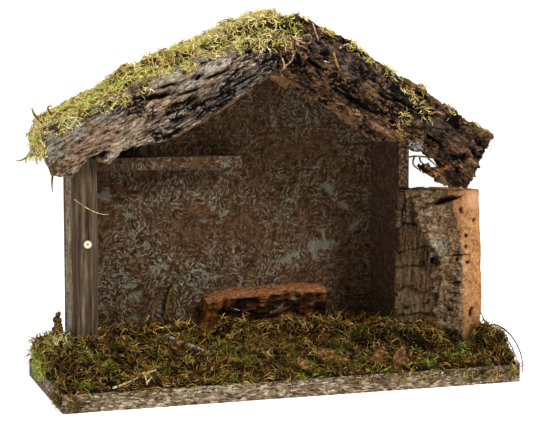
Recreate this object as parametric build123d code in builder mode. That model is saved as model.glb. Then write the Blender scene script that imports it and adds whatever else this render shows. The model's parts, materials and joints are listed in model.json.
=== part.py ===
from build123d import *
import os
from math import atan2, cos, radians, sin, tan

# Wooden nativity stable: a chipboard base and house, a bark-faced roof, a branch post,
# a block of cork bark, a bark bench and moss over the ground and the roof.
# Millimetres. X runs along the front, Y to the back, Z up. The origin is the middle of
# the base's underside.

# Base and house
base_length = 330.0
base_depth = 137.0
base_thickness = 12.0
base_corner_radius = 2.0
house_left_margin = 27.0
house_right_margin = 55.0
house_depth = 62.0
panel_thickness = 8.0
wall_height = 167.0
ridge_height = 233.0
ridge_shift = 10.0

# Roof boards
roof_thickness = 6.0
roof_front_overhang = 19.5
left_eave = 13.0
right_eave = 6.0

# Corner loft
loft_height = 148.0
loft_thickness = 9.0
loft_length = 119.0
loft_side = 40.0
loft_nose = 24.0

# Branch post
post_diameter = 18.0
post_inset = 1.5
post_flat = 1.0
stub_diameter = 5.6
stub_length = 1.8
stub_height = 91.0

# Roof bark
left_bark_overhang = 29.0
right_bark_overhang = 58.0
right_saw_cut = 16.0
bark_gap = 0.6
left_bark_drop = 32.0
left_bark_rise = 17.0
right_bark_drop = 32.0
right_bark_rise = 31.0
bark_depth = 21.0
tongue_length = 26.0
tongue_height = 17.0
tongue_thickness = 9.0

# Cork block at the right wall
trunk_left = 13.0
trunk_margin = 7.0
trunk_front = 26.0
trunk_back = 18.0
trunk_height = 123.0
knot_diameter = 6.5
knot_depth = 9.0
knot_height = 70.0
slash_width = 26.0
slash_height = 3.2
slash_depth = 6.0
slash_drop = 9.0
slash_angle = 20.0

# Bark bench
bench_span_shares = (0.393, 0.823)
bench_depth = 31.0
bench_height = 48.5
bench_fall = 5.5
bench_hollow = 15.0

# Moss
moss_margin = 1.5
moss_gap = 0.4
moss_lip = 2.5
front_moss_height = 22.0
stall_moss_front = 9.0
stall_moss_back = 17.5
bench_moss_height = 22.0
side_moss_height = 18.0
right_moss_front = 25.0
right_moss_back = 19.0
moss_round = 4.0
roof_moss_thickness = 10.0
ridge_moss_thickness = 11.0
right_moss_thickness = 8.0
eave_moss_reach = 12.0
eave_moss_drop = 9.0
moss_back_margin = 2.5

# Litter on the moss
twig_diameter = 3.4
twig_length = 46.0
twig_angle = 62.0
stem_diameter = 7.0
stem_height = 24.0
stem_taper_angle = 5.0
leaf_length = 24.0
leaf_width = 13.0
leaf_thickness = 0.8
leaf_angle = 55.0

# Brads: wire nails of a flat section with a head that is wider one way
brad_width = 1.3
brad_thickness = 1.0
brad_head_width = 2.2
brad_head_height = 0.9
brad_length = 20.0
brad_sink = 0.4
brad_gap = 0.1

# Lines that the pieces share
base_top = base_thickness
back_y = base_depth / 2
front_y = -base_depth / 2
inner_back_y = back_y - panel_thickness
wall_front_y = back_y - house_depth
house_left = house_left_margin - base_length / 2
house_right = base_length / 2 - house_right_margin
inner_left = house_left + panel_thickness
inner_right = house_right - panel_thickness
wall_top = base_top + wall_height
ridge_x = (house_left + house_right) / 2 + ridge_shift
ridge_z = base_top + ridge_height
roof_front_y = wall_front_y - roof_front_overhang
left_pitch = atan2(ridge_z - wall_top, ridge_x - house_left)
right_pitch = atan2(ridge_z - wall_top, house_right - ridge_x)
left_bark_reach = ridge_x - house_left + left_bark_overhang
right_bark_reach = house_right - ridge_x + right_bark_overhang
loft_top = base_top + loft_height
trunk_right = house_right_margin - trunk_margin
trunk_front_y = wall_front_y - trunk_front

os.makedirs("parts", exist_ok=True)


def roof_under(x):
    """Height of the roof boards' underside above the point x."""
    if x < ridge_x:
        return ridge_z - (ridge_x - x) * tan(left_pitch)
    return ridge_z - (x - ridge_x) * tan(right_pitch)


def save(piece, name):
    """Label a finished piece and write it under its own name."""
    piece.label = name
    export_step(piece, f"parts/{name}.step")


def brads(places, gap, mode):
    """Brads at the places, or with a gap the holes that take them."""
    inward = (Align.CENTER, Align.CENTER, Align.MAX)
    thickness = brad_thickness + 2 * gap
    with Locations(*places):
        Box(brad_width + 2 * gap, thickness, brad_length + gap, align=inward, mode=mode)
        if mode == Mode.ADD:
            Box(brad_head_width, thickness, brad_head_height, align=inward)
        else:
            Box(brad_head_width + 2 * gap, thickness, 2 * (brad_head_height + gap), mode=mode)


# Brad places, each a plane whose normal points out of the face that the brad enters
panel_row_shares = (0.14, 0.5, 0.86)
wall_middles = (house_left + panel_thickness / 2, house_right - panel_thickness / 2)
panel_brads = []
for x in wall_middles:
    for share in panel_row_shares:
        spot = (x, back_y - brad_sink, base_top + share * wall_height)
        panel_brads.append(Plane(origin=spot, z_dir=(0, 1, 0)))

loft_row_shares = (0.14, 0.36, 0.58)
loft_brads = []
for share in loft_row_shares:
    spot = (inner_left + share * loft_length, back_y - brad_sink, loft_top - loft_thickness / 2)
    loft_brads.append(Plane(origin=spot, z_dir=(0, 1, 0)))

base_row_shares = (0.25, 0.75)
base_brads = []
for share in base_row_shares:
    wall_y = wall_front_y + share * (house_depth - panel_thickness)
    for x in wall_middles:
        base_brads.append(Plane(origin=(x, wall_y, brad_sink), z_dir=(0, 0, -1)))
    panel_x = house_left + share * (house_right - house_left)
    base_brads.append(Plane(origin=(panel_x, back_y - panel_thickness / 2, brad_sink), z_dir=(0, 0, -1)))

post_x = house_left + post_inset
post_y = wall_front_y - post_diameter / 2 + post_flat
base_brads.append(Plane(origin=(post_x, post_y, brad_sink), z_dir=(0, 0, -1)))
trunk_spot_shares = (0.5, 0.35)
trunk_spot_x = house_right + trunk_spot_shares[0] * trunk_right
trunk_spot_y = wall_front_y - trunk_spot_shares[1] * trunk_front
base_brads.append(Plane(origin=(trunk_spot_x, trunk_spot_y, brad_sink), z_dir=(0, 0, -1)))

roof_row_shares = (0.2, 0.5, 0.8)
left_roof_brads = []
right_roof_brads = []
for share in roof_row_shares:
    panel_y = back_y - panel_thickness / 2
    depth = roof_thickness - brad_sink
    left_x = ridge_x + share * (house_left - ridge_x)
    left_normal = Vector(-sin(left_pitch), 0, cos(left_pitch))
    left_spot = Vector(left_x, panel_y, roof_under(left_x)) + left_normal * depth
    left_roof_brads.append(Plane(origin=left_spot, z_dir=left_normal))
    right_x = ridge_x + share * (house_right - ridge_x)
    right_normal = Vector(sin(right_pitch), 0, cos(right_pitch))
    right_spot = Vector(right_x, panel_y, roof_under(right_x)) + right_normal * depth
    right_roof_brads.append(Plane(origin=right_spot, z_dir=right_normal))

# Base board: a sawn chipboard plate with slightly rubbed corners
with BuildPart() as base_board:
    with BuildSketch():
        RectangleRounded(base_length, base_depth, base_corner_radius)
    extrude(amount=base_thickness)
    brads(base_brads, brad_gap, Mode.SUBTRACT)
save(base_board.part, "base_board")

# Back panel: a gable that closes the house and carries the roof
with BuildPart() as back_panel:
    with BuildSketch(Plane.XZ.offset(-back_y)):
        with BuildLine():
            Polyline(
                (house_left, base_top),
                (house_right, base_top),
                (house_right, wall_top),
                (ridge_x, ridge_z),
                (house_left, wall_top),
                close=True,
            )
        make_face()
    extrude(amount=panel_thickness)
    brads(panel_brads + loft_brads + base_brads, brad_gap, Mode.SUBTRACT)
    brads(left_roof_brads + right_roof_brads, brad_gap, Mode.SUBTRACT)
save(back_panel.part, "back_panel")


def side_wall(outer_x, inner_x, name):
    """One side wall, butted against the back panel, its top cut to the roof's slope."""
    with BuildPart() as wall:
        with BuildSketch(Plane.XZ.offset(-inner_back_y)):
            with BuildLine():
                Polyline(
                    (outer_x, base_top),
                    (inner_x, base_top),
                    (inner_x, roof_under(inner_x)),
                    (outer_x, roof_under(outer_x)),
                    close=True,
                )
            make_face()
        extrude(amount=house_depth - panel_thickness)
        brads(panel_brads + base_brads, brad_gap, Mode.SUBTRACT)
    save(wall.part, name)


side_wall(house_left, inner_left, "left_wall")
side_wall(house_right, inner_right, "right_wall")


def roof_board(side, pitch, eave_x, holes, name):
    """One roof board, mitred at the ridge and square at the eave."""
    rise = roof_thickness * cos(pitch)
    run = side * roof_thickness * sin(pitch)
    with BuildPart() as board:
        with BuildSketch(Plane.XZ.offset(-back_y)):
            with BuildLine():
                Polyline(
                    (ridge_x, ridge_z),
                    (eave_x, roof_under(eave_x)),
                    (eave_x + run, roof_under(eave_x) + rise),
                    (ridge_x, ridge_z + roof_thickness / cos(pitch)),
                    close=True,
                )
            make_face()
        extrude(amount=back_y - roof_front_y)
        brads(holes, brad_gap, Mode.SUBTRACT)
    save(board.part, name)


left_eave_x = house_left - left_eave
right_eave_x = house_right + right_eave
roof_board(-1, left_pitch, left_eave_x, left_roof_brads, "left_roof_board")
roof_board(1, right_pitch, right_eave_x, right_roof_brads, "right_roof_board")

# Corner loft: a shelf in the back left corner, deeper at the side wall than at its free end
with BuildPart() as loft_shelf:
    with BuildSketch(Plane.XY.offset(loft_top - loft_thickness)):
        with BuildLine():
            Polyline(
                (inner_left, inner_back_y),
                (inner_left, inner_back_y - loft_side),
                (inner_left + loft_length, inner_back_y - loft_nose),
                (inner_left + loft_length, inner_back_y),
                close=True,
            )
        make_face()
    extrude(amount=loft_thickness)
    brads(loft_brads, brad_gap, Mode.SUBTRACT)
save(loft_shelf.part, "corner_loft")

# Branch post: a straight barked branch, planed flat where it meets the wall, with its top
# sawn to the roof and the pale stub of a pruned twig
upward = (Align.CENTER, Align.CENTER, Align.MIN)
with BuildPart() as left_post:
    with Locations((post_x, post_y, base_top)):
        Cylinder(post_diameter / 2, ridge_height, align=upward)
    with Locations(Plane(origin=(post_x, post_y, base_top + stub_height), z_dir=(0, -1, 0))):
        Cylinder(stub_diameter / 2, post_diameter / 2 + stub_length, align=upward)
    split(bisect_by=Plane(origin=(post_x, wall_front_y, base_top), z_dir=(0, 1, 0)), keep=Keep.BOTTOM)
    roof_normal = (-sin(left_pitch), 0, cos(left_pitch))
    roof_spot = (ridge_x, wall_front_y, ridge_z)
    split(bisect_by=Plane(origin=roof_spot, z_dir=roof_normal), keep=Keep.BOTTOM)
    brads(base_brads, brad_gap, Mode.SUBTRACT)
save(left_post.part, "left_post")


def bark_slab(side, reach, drop, rise, shares):
    """A bark slab that runs down one slope of the roof, flat behind and rounded in front."""
    with BuildPart() as slab:
        for along, low, high, depth, lip, crown in shares:
            x = ridge_x + side * (bark_gap / 2 + along * reach)
            bottom = roof_under(x) - low * drop
            top = roof_under(x) + high * rise
            face_y = roof_front_y - depth * bark_depth
            lip_y = roof_front_y - lip * bark_depth
            crown_y = roof_front_y - crown * bark_depth
            with BuildSketch(Plane.YZ.offset(x)):
                with BuildLine():
                    Line((roof_front_y, bottom), (roof_front_y, top))
                    Line((roof_front_y, top), (crown_y, top))
                    ThreePointArc((crown_y, top), (face_y, (bottom + top) / 2), (lip_y, bottom))
                    Line((lip_y, bottom), (roof_front_y, bottom))
                make_face()
        loft(ruled=True)
    return slab.part


# Left roof bark: a long slab on the roof's front edge, deepest below the middle, with
# an arched bite over the post and a ragged outer end
# Columns: along the slope, drop, rise, depth, lower lip, crown
left_bark_shares = (
    (0.00, 0.78, 0.34, 0.52, 0.45, 0.32),
    (0.12, 0.86, 0.42, 0.72, 0.62, 0.45),
    (0.24, 0.95, 0.46, 0.80, 0.69, 0.50),
    (0.36, 0.98, 0.62, 0.92, 0.79, 0.57),
    (0.46, 1.00, 0.80, 0.84, 0.72, 0.52),
    (0.57, 0.93, 0.95, 1.00, 0.86, 0.62),
    (0.66, 0.72, 0.86, 0.90, 0.77, 0.56),
    (0.74, 0.82, 0.95, 0.96, 0.83, 0.60),
    (0.80, 0.62, 0.90, 0.92, 0.79, 0.57),
    (0.90, 0.76, 0.96, 0.86, 0.74, 0.53),
    (1.00, 0.44, 1.00, 0.70, 0.60, 0.43),
)
left_bark = bark_slab(-1, left_bark_reach, left_bark_drop, left_bark_rise, left_bark_shares)
save(left_bark, "left_roof_bark")

# Right roof bark: a lumpier slab with a knob at the ridge, a notch beside the right wall,
# a sawn outer end and a curled tongue that hangs below the eave
right_bark_shares = (
    (0.00, 0.84, 0.30, 0.60, 0.47, 0.35),
    (0.09, 0.86, 0.82, 0.92, 0.72, 0.53),
    (0.19, 0.78, 0.90, 0.78, 0.61, 0.45),
    (0.33, 0.80, 1.00, 1.00, 0.78, 0.58),
    (0.44, 0.94, 0.93, 0.86, 0.67, 0.50),
    (0.53, 0.62, 0.88, 0.96, 0.75, 0.56),
    (0.61, 0.38, 0.90, 0.80, 0.62, 0.46),
    (0.72, 0.46, 0.84, 0.94, 0.73, 0.55),
    (0.79, 0.92, 0.90, 0.98, 0.76, 0.57),
    (0.90, 0.58, 0.86, 0.86, 0.67, 0.50),
    (1.00, 0.50, 0.90, 0.80, 0.62, 0.46),
)
tongue_low_shares = ((0.0, 0.1), (0.45, 0.38), (1.0, 0.98))
tongue_high_shares = ((0.86, 1.0), (0.42, 0.74), (0.0, 0.9))
tongue_root = right_bark_shares[8]
tongue_x = ridge_x + bark_gap / 2 + tongue_root[0] * right_bark_reach
tongue_z = roof_under(tongue_x) - tongue_root[1] * right_bark_drop
right_slab = bark_slab(1, right_bark_reach, right_bark_drop, right_bark_rise, right_bark_shares)
with BuildPart() as right_bark:
    add(right_slab)
    with BuildSketch(Plane.XZ.offset(-roof_front_y)):
        low = [(tongue_x - a * tongue_length, tongue_z + b * tongue_height) for a, b in tongue_low_shares]
        high = [(tongue_x - a * tongue_length, tongue_z + b * tongue_height) for a, b in tongue_high_shares]
        with BuildLine():
            ThreePointArc(*low)
            Line(low[-1], high[0])
            ThreePointArc(*high)
            Line(high[-1], low[0])
        make_face()
    extrude(amount=tongue_thickness)
    saw_x = ridge_x + right_bark_reach - right_saw_cut
    saw_plane = Plane(
        origin=(saw_x, roof_front_y, roof_under(saw_x)),
        z_dir=(cos(right_pitch), 0, -sin(right_pitch)),
    )
    split(bisect_by=saw_plane, keep=Keep.BOTTOM)
save(right_bark.part, "right_roof_bark")

# Cork block: a thick curved slab of cork bark standing on the base in front of the right
# wall, notched over the wall's corner, hollowed in front, with a knot hole and a split
# Columns: height, reach to the left, right, front and back
trunk_level_shares = (
    (0.00, 0.95, 0.96, 0.94, 1.00),
    (0.30, 1.00, 1.02, 1.00, 0.98),
    (0.65, 0.92, 1.00, 0.96, 0.95),
    (1.00, 0.78, 0.97, 0.90, 0.90),
)
trunk_hollow_shares = (0.15, 0.36)
trunk_brow_shares = (0.46, 0.62)
trunk_edge_shares = (0.66, 0.98)
trunk_bulge_shares = (0.93, 0.42)
knot_flat_share = 0.8
with BuildPart() as cork_block:
    for level, left, right, front, back in trunk_level_shares:
        left_x = house_right - left * trunk_left
        right_x = house_right + right * trunk_right
        fore_y = wall_front_y - front * trunk_front
        rear_y = wall_front_y + back * trunk_back
        hollow = (
            house_right + trunk_hollow_shares[0] * trunk_right,
            wall_front_y - trunk_hollow_shares[1] * trunk_front,
        )
        brow = (
            house_right + trunk_brow_shares[0] * trunk_right,
            wall_front_y - trunk_brow_shares[1] * front * trunk_front,
        )
        edge = (house_right + trunk_edge_shares[0] * trunk_right, fore_y)
        face_end = (right_x, wall_front_y - trunk_edge_shares[1] * front * trunk_front)
        bulge = (
            house_right + trunk_bulge_shares[0] * right * trunk_right,
            wall_front_y + trunk_bulge_shares[1] * back * trunk_back,
        )
        shoulder = (house_right + trunk_edge_shares[0] * trunk_right, rear_y)
        with BuildSketch(Plane.XY.offset(base_top + level * trunk_height)):
            with BuildLine():
                Polyline(
                    (left_x, wall_front_y),
                    (left_x, wall_front_y - trunk_hollow_shares[0] * trunk_front),
                    hollow,
                    brow,
                    edge,
                    face_end,
                    bulge,
                    shoulder,
                    (house_right, rear_y),
                    (house_right, wall_front_y),
                    close=True,
                )
            make_face()
    loft(ruled=True)
    knot_x = house_right + trunk_hollow_shares[1] * trunk_right
    with BuildSketch(Plane.XZ.offset(-trunk_front_y)):
        with Locations((knot_x, base_top + knot_height)):
            Ellipse(knot_diameter / 2, knot_flat_share * knot_diameter / 2)
    extrude(amount=-trunk_front / 2 - knot_depth, mode=Mode.SUBTRACT)
    with BuildSketch(Plane.XZ.offset(-trunk_front_y)):
        with Locations(Location((knot_x, base_top + trunk_height - slash_drop), slash_angle)):
            SlotOverall(slash_width, slash_height)
    extrude(amount=-trunk_front / 2 - slash_depth, mode=Mode.SUBTRACT)
    brads(base_brads, brad_gap, Mode.SUBTRACT)
save(cork_block.part, "cork_block")

# Bark bench: a broken piece of bark against the back panel, its top face falling to the
# front and its ragged front hollowed
# Columns: along the bench, depth, height, hollow
bench_shares = (
    (0.00, 0.72, 0.88, 0.40),
    (0.16, 0.94, 0.95, 0.90),
    (0.34, 1.00, 0.97, 1.00),
    (0.52, 0.88, 0.98, 0.70),
    (0.70, 0.96, 1.00, 1.00),
    (0.86, 0.84, 1.00, 0.60),
    (1.00, 0.74, 0.97, 0.40),
)
inner_width = inner_right - inner_left
bench_x = inner_left + bench_span_shares[0] * inner_width
bench_end_x = inner_left + bench_span_shares[1] * inner_width
with BuildPart() as bark_bench:
    for along, depth, height, hollow in bench_shares:
        fore_y = inner_back_y - depth * bench_depth
        rear_z = base_top + height * bench_height
        fore_z = rear_z - bench_fall
        waist = (fore_y + hollow * bench_hollow, (base_top + fore_z) / 2)
        with BuildSketch(Plane.YZ.offset(bench_x + along * (bench_end_x - bench_x))):
            with BuildLine():
                Polyline(
                    (inner_back_y, base_top),
                    (inner_back_y, rear_z),
                    (fore_y, fore_z),
                    waist,
                    (fore_y, base_top),
                    close=True,
                )
            make_face()
    loft(ruled=True)
save(bark_bench.part, "bark_bench")

# Front moss: a mat along the front edge, thick before the post and thin to the right
# Columns: along the base, height
front_moss_shares = ((0.0, 0.7), (0.06, 1.0), (0.16, 0.95), (0.3, 0.42), (1.0, 0.42))
moss_left_x = moss_margin - base_length / 2
moss_right_x = base_length / 2 - moss_margin
moss_front_y = front_y + moss_margin
moss_middle_y = trunk_front_y - moss_gap
with BuildPart() as front_moss:
    for along, height in front_moss_shares:
        with BuildSketch(Plane.YZ.offset(moss_left_x + along * (moss_right_x - moss_left_x))):
            with BuildLine():
                Polyline(
                    (moss_front_y, base_top),
                    (moss_middle_y, base_top),
                    (moss_middle_y, base_top + height * front_moss_height),
                    (moss_front_y, base_top + moss_lip),
                    close=True,
                )
            make_face()
    loft(ruled=True)
save(front_moss.part, "front_moss")


def moss_pad(left, right, fore, rear, fore_height, rear_height, name):
    """A moss pad on the base with a top that rises to the back and rounded side edges."""
    with BuildPart() as pad:
        with BuildSketch(Plane.YZ.offset(left)):
            with BuildLine():
                Polyline(
                    (fore, base_top),
                    (rear, base_top),
                    (rear, base_top + rear_height),
                    (fore, base_top + fore_height),
                    close=True,
                )
            make_face()
        extrude(amount=right - left)
        crest = pad.faces().filter_by(lambda face: face.normal_at().Z > 0).sort_by(Axis.Z)[-1]
        sides = crest.edges().filter_by(lambda edge: abs(edge.tangent_at(0).X) < abs(edge.tangent_at(0).Y))
        fillet(sides, moss_round)
    save(pad.part, name)


# Moss of the stall floor, of both sides of the bench and of both sides of the house
stall_left_x = post_x + post_diameter / 2 + moss_gap
stall_right_x = house_right - trunk_left - moss_gap
stall_rear_y = inner_back_y - bench_depth - moss_gap
moss_rear_y = inner_back_y - moss_gap
outer_rear_y = back_y - moss_back_margin
moss_pad(
    stall_left_x, stall_right_x, moss_middle_y, stall_rear_y,
    stall_moss_front, stall_moss_back, "stall_moss",
)
moss_pad(
    inner_left + moss_gap, bench_x - moss_gap, stall_rear_y, moss_rear_y,
    stall_moss_back, bench_moss_height, "left_bench_moss",
)
moss_pad(
    bench_end_x + moss_gap, inner_right - moss_gap, stall_rear_y, moss_rear_y,
    stall_moss_back, bench_moss_height, "right_bench_moss",
)
moss_pad(
    moss_left_x, post_x - post_diameter / 2 - moss_gap, moss_middle_y, outer_rear_y,
    side_moss_height, side_moss_height, "left_side_moss",
)
moss_pad(
    house_right + moss_gap, moss_right_x, wall_front_y + trunk_back + moss_gap, outer_rear_y,
    right_moss_front, right_moss_back, "right_side_moss",
)


def roof_moss(side, pitch, eave_x, thickness, drape, name):
    """Moss on one roof board, draped over the eave where drape is set."""
    down = Vector(side * cos(pitch), -sin(pitch))
    outward = Vector(side * sin(pitch), cos(pitch))
    ridge_top = Vector(ridge_x, ridge_z + roof_thickness / cos(pitch))
    crest = ridge_top + Vector(0, ridge_moss_thickness)
    eave_low = Vector(eave_x, roof_under(eave_x))
    eave_top = eave_low + outward * roof_thickness
    shoulder = eave_top + outward * thickness
    belly = (crest + shoulder) / 2 + outward * moss_lip
    outline = [ridge_top, eave_top]
    if drape:
        tip = eave_low + down * eave_moss_reach / 2 - Vector(0, eave_moss_drop)
        outline += [eave_low, tip]
        bulge = eave_low + down * eave_moss_reach
    else:
        tip = eave_top + down * moss_gap
        outline += [tip]
        bulge = (tip + shoulder) / 2 + down * moss_lip
    with BuildPart() as moss:
        with BuildSketch(Plane.XZ.offset(moss_back_margin - back_y)):
            with BuildLine():
                Polyline(*[(point.X, point.Y) for point in outline])
                ThreePointArc((tip.X, tip.Y), (bulge.X, bulge.Y), (shoulder.X, shoulder.Y))
                ThreePointArc((shoulder.X, shoulder.Y), (belly.X, belly.Y), (crest.X, crest.Y))
                Line((crest.X, crest.Y), (ridge_top.X, ridge_top.Y))
            make_face()
        extrude(amount=back_y - moss_back_margin - roof_front_y)
    save(moss.part, name)


roof_moss(-1, left_pitch, left_eave_x, roof_moss_thickness, True, "left_roof_moss")
roof_moss(1, right_pitch, right_eave_x, right_moss_thickness, False, "right_roof_moss")


def slope_plane(origin, slope, turn):
    """A plane that rises to the back by the slope, its X axis turned by so many degrees."""
    angle = radians(turn)
    return Plane(
        origin=origin,
        x_dir=(cos(angle), sin(angle) * cos(slope), sin(angle) * sin(slope)),
        z_dir=(0, -sin(slope), cos(slope)),
    )


# Litter: a grey twig on the stall moss, an upright brown stem on the left moss and a dry
# leaf on the front moss
stall_slope = atan2(stall_moss_back - stall_moss_front, stall_rear_y - moss_middle_y)
twig_spot_shares = (0.29, 0.5)
twig_x = stall_left_x + twig_spot_shares[0] * (stall_right_x - stall_left_x)
twig_y = moss_middle_y + twig_spot_shares[1] * (stall_rear_y - moss_middle_y)
twig_z = base_top + (stall_moss_front + stall_moss_back) / 2
twig_plane = slope_plane((twig_x, twig_y, twig_z), stall_slope, -twig_angle)
with BuildPart() as grey_twig:
    with Locations(twig_plane.offset(twig_diameter / 2)):
        Cylinder(twig_diameter / 2, twig_length, rotation=(0, 90, 0))
save(grey_twig.part, "grey_twig")

stem_sides = 8
stem_spot_share = 0.3
stem_x = (moss_left_x + post_x - post_diameter / 2) / 2
stem_y = moss_middle_y + stem_spot_share * (outer_rear_y - moss_middle_y)
with BuildPart() as moss_stem:
    with BuildSketch(Plane.XY.offset(base_top + side_moss_height)):
        with Locations((stem_x, stem_y)):
            RegularPolygon(stem_diameter / 2, stem_sides)
    extrude(amount=stem_height, taper=stem_taper_angle)
save(moss_stem.part, "moss_stem")

leaf_spot_shares = (0.7, 0.45)
front_rise = front_moss_shares[-1][1] * front_moss_height - moss_lip
front_slope = atan2(front_rise, moss_middle_y - moss_front_y)
leaf_origin = (
    moss_left_x + leaf_spot_shares[0] * (moss_right_x - moss_left_x),
    moss_front_y + leaf_spot_shares[1] * (moss_middle_y - moss_front_y),
    base_top + moss_lip + leaf_spot_shares[1] * front_rise,
)
with BuildPart() as dry_leaf:
    with BuildSketch(slope_plane(leaf_origin, front_slope, leaf_angle)):
        with BuildLine():
            ThreePointArc((-leaf_length / 2, 0), (0, leaf_width / 2), (leaf_length / 2, 0))
            ThreePointArc((leaf_length / 2, 0), (0, -leaf_width / 2), (-leaf_length / 2, 0))
        make_face()
    extrude(amount=leaf_thickness)
save(dry_leaf.part, "dry_leaf")

# Brads, each group in its holes
brad_groups = {
    "panel_brads": panel_brads,
    "loft_brads": loft_brads,
    "base_brads": base_brads,
    "roof_brads": left_roof_brads + right_roof_brads,
}
for name, places in brad_groups.items():
    with BuildPart() as brad_group:
        brads(places, 0, Mode.ADD)
    save(brad_group.part, name)
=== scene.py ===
# %% [markdown]
# # A wooden nativity stable
# The stable is a chipboard house under a roof of bark and moss. The solid model gives every
# piece its place and size. This lesson dresses those solids: boards get paint, bark and cork
# get their relief, and moss grows on the pads that stand for it.
# Everything is in metres, with X along the front, Y to the back and Z up.

# %% Load the solid model
import bpy
import json
import math
from functools import partial
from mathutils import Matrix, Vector

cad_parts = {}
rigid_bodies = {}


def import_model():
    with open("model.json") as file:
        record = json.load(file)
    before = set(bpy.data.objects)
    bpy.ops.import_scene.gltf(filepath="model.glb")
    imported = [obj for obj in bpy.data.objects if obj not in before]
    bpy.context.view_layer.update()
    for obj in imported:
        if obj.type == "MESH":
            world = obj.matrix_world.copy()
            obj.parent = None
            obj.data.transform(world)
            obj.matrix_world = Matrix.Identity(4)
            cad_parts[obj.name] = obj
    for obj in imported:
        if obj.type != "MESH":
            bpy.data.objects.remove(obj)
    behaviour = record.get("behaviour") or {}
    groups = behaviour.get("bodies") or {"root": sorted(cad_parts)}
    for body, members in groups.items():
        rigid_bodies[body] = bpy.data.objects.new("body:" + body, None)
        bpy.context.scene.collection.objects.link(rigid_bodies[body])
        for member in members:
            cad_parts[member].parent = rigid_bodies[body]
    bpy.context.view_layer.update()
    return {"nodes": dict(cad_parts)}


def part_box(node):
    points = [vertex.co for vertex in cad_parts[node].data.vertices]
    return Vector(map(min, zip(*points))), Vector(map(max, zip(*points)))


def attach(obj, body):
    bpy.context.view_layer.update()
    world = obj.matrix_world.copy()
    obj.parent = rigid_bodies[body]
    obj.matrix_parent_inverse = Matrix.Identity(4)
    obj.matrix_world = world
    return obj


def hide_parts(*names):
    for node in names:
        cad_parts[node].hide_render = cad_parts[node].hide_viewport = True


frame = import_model()
mm = 0.001

# %% [markdown]
# ## The camera
# The photograph was taken from the front left, a little above the roof's eaves, with a long
# lens. Four corners of the base were measured in it, and the camera that puts them in the
# same places was worked out from that. A camera could also be set by eye, but then every
# comparison would be off by a few millimetres.

# %% Set the camera
photo_width = 533
focal_length_pixels = 1400.0
bpy.ops.object.camera_add(
    location=(-0.3233, -0.9483, 0.2007),
    rotation=(math.radians(90 - 4.6), 0, math.radians(-18.6)),
)
camera = bpy.context.object
camera.data.sensor_fit = "HORIZONTAL"
camera.data.sensor_width = 36.0
camera.data.lens = focal_length_pixels / photo_width * camera.data.sensor_width
bpy.context.scene.camera = camera
print("lens", round(camera.data.lens, 1), "mm")

# %% [markdown]
# ## Colours and nodes
# Colours are picked as sRGB hex values, as on a screen, but shaders work with linear light,
# so one function turns one into the other. A second function adds a node with its settings,
# its colour stops and its links, so that a node tree reads from top to bottom like a recipe.
# A new finish hands out that function as add, already bound to its own tree.

# %% Colour and node helpers
node_families = ("ShaderNode", "GeometryNode", "FunctionNode", "Node")


def linear(colour):
    """An sRGB hex colour as the linear values that shaders use."""
    shares = [int(colour[place:place + 2], 16) / 255 for place in (1, 3, 5)]
    shares = [s / 12.92 if s <= 0.04045 else ((s + 0.055) / 1.055) ** 2.4 for s in shares]
    return (*shares, 1.0)


def live_output(value):
    """A node's first output that is in use. Anything else stays as it is."""
    if isinstance(value, bpy.types.Node):
        return next(output for output in value.outputs if output.enabled)
    return value


def add_node(tree, kind, *inputs, stops=None, **named):
    """Add a node and fill its sockets in order, each with a value, a node or a node's output.

    A name with a capital, such as Scale, is a socket too. Other names are the node's settings.
    """
    family = next(family for family in node_families if hasattr(bpy.types, family + kind))
    node = tree.nodes.new(family + kind)
    for name, value in named.items():
        if name.islower():
            setattr(node, name, value)
    if stops:
        ramp = node.color_ramp.elements
        for end in (0, -1):
            ramp[end].position = stops[end][0]
            ramp[end].color = linear(stops[end][1])
        for place, colour in stops[1:-1]:
            ramp.new(place).color = linear(colour)
    sockets = [socket for socket in node.inputs if socket.enabled]
    filled = list(zip(sockets, inputs))
    for name, value in named.items():
        if not name.islower():
            label = name.replace("_", " ")
            filled.append((next(socket for socket in sockets if socket.name == label), value))
    for socket, value in filled:
        value = live_output(value)
        if isinstance(value, bpy.types.NodeSocket):
            tree.links.new(value, socket)
        else:
            socket.default_value = value
    return node


print("middle grey is", round(linear("#808080")[0], 3), "in linear light")


# %% Finish helpers
def new_finish(name, roughness, *kept):
    """A material: its add, its one shader, Object coordinates, and values that a shaping kept."""
    finish = bpy.data.materials.new(name)
    finish.use_nodes = True
    finish.node_tree.nodes.clear()
    add = partial(add_node, finish.node_tree)
    shader = add("BsdfPrincipled", Roughness=roughness, Specular_IOR_Level=0.1)
    add("OutputMaterial", shader)
    values = [add("Attribute", attribute_name=value).outputs["Fac"] for value in kept]
    print("finish", name)
    return finish, add, shader, add("TexCoord").outputs["Object"], *values


def show(add, shader, colour, grain=None, strength=1.0, depth=0.0):
    """Let a shader show a colour, and a pattern as fine bumps of a depth in millimetres."""
    links = shader.id_data.links
    links.new(live_output(colour), shader.inputs["Base Color"])
    if grain is not None:
        bump = add("Bump", Strength=strength, Distance=depth * mm, Height=grain)
        links.new(bump.outputs[0], shader.inputs["Normal"])


def paint_nodes(finish, *names):
    """Give CAD nodes that keep their own shape a finish."""
    for name in names:
        node = frame["nodes"][name]
        node.data.materials.clear()
        node.data.materials.append(finish)
    print(finish.name, "on", ", ".join(names))


# %% [markdown]
# ## Light and floor
# The stable was lit by large soft lamps from the front, more from the right, so the left
# half of the stall is lit and the right wall's inner face stays dark. A white world stands
# for the white studio, and the floor is a plain pale sheet, lit through from behind as on a
# photographer's light table.

# %% Studio light
world = bpy.data.worlds.new("studio_white")
bpy.context.scene.world = world
world.use_nodes = True
world.node_tree.nodes.clear()
sky = add_node(world.node_tree, "Background", Color=linear("#ffffff"), Strength=0.12)
add_node(world.node_tree, "OutputWorld", sky)
bpy.context.scene.view_settings.view_transform = "Standard"

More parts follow.
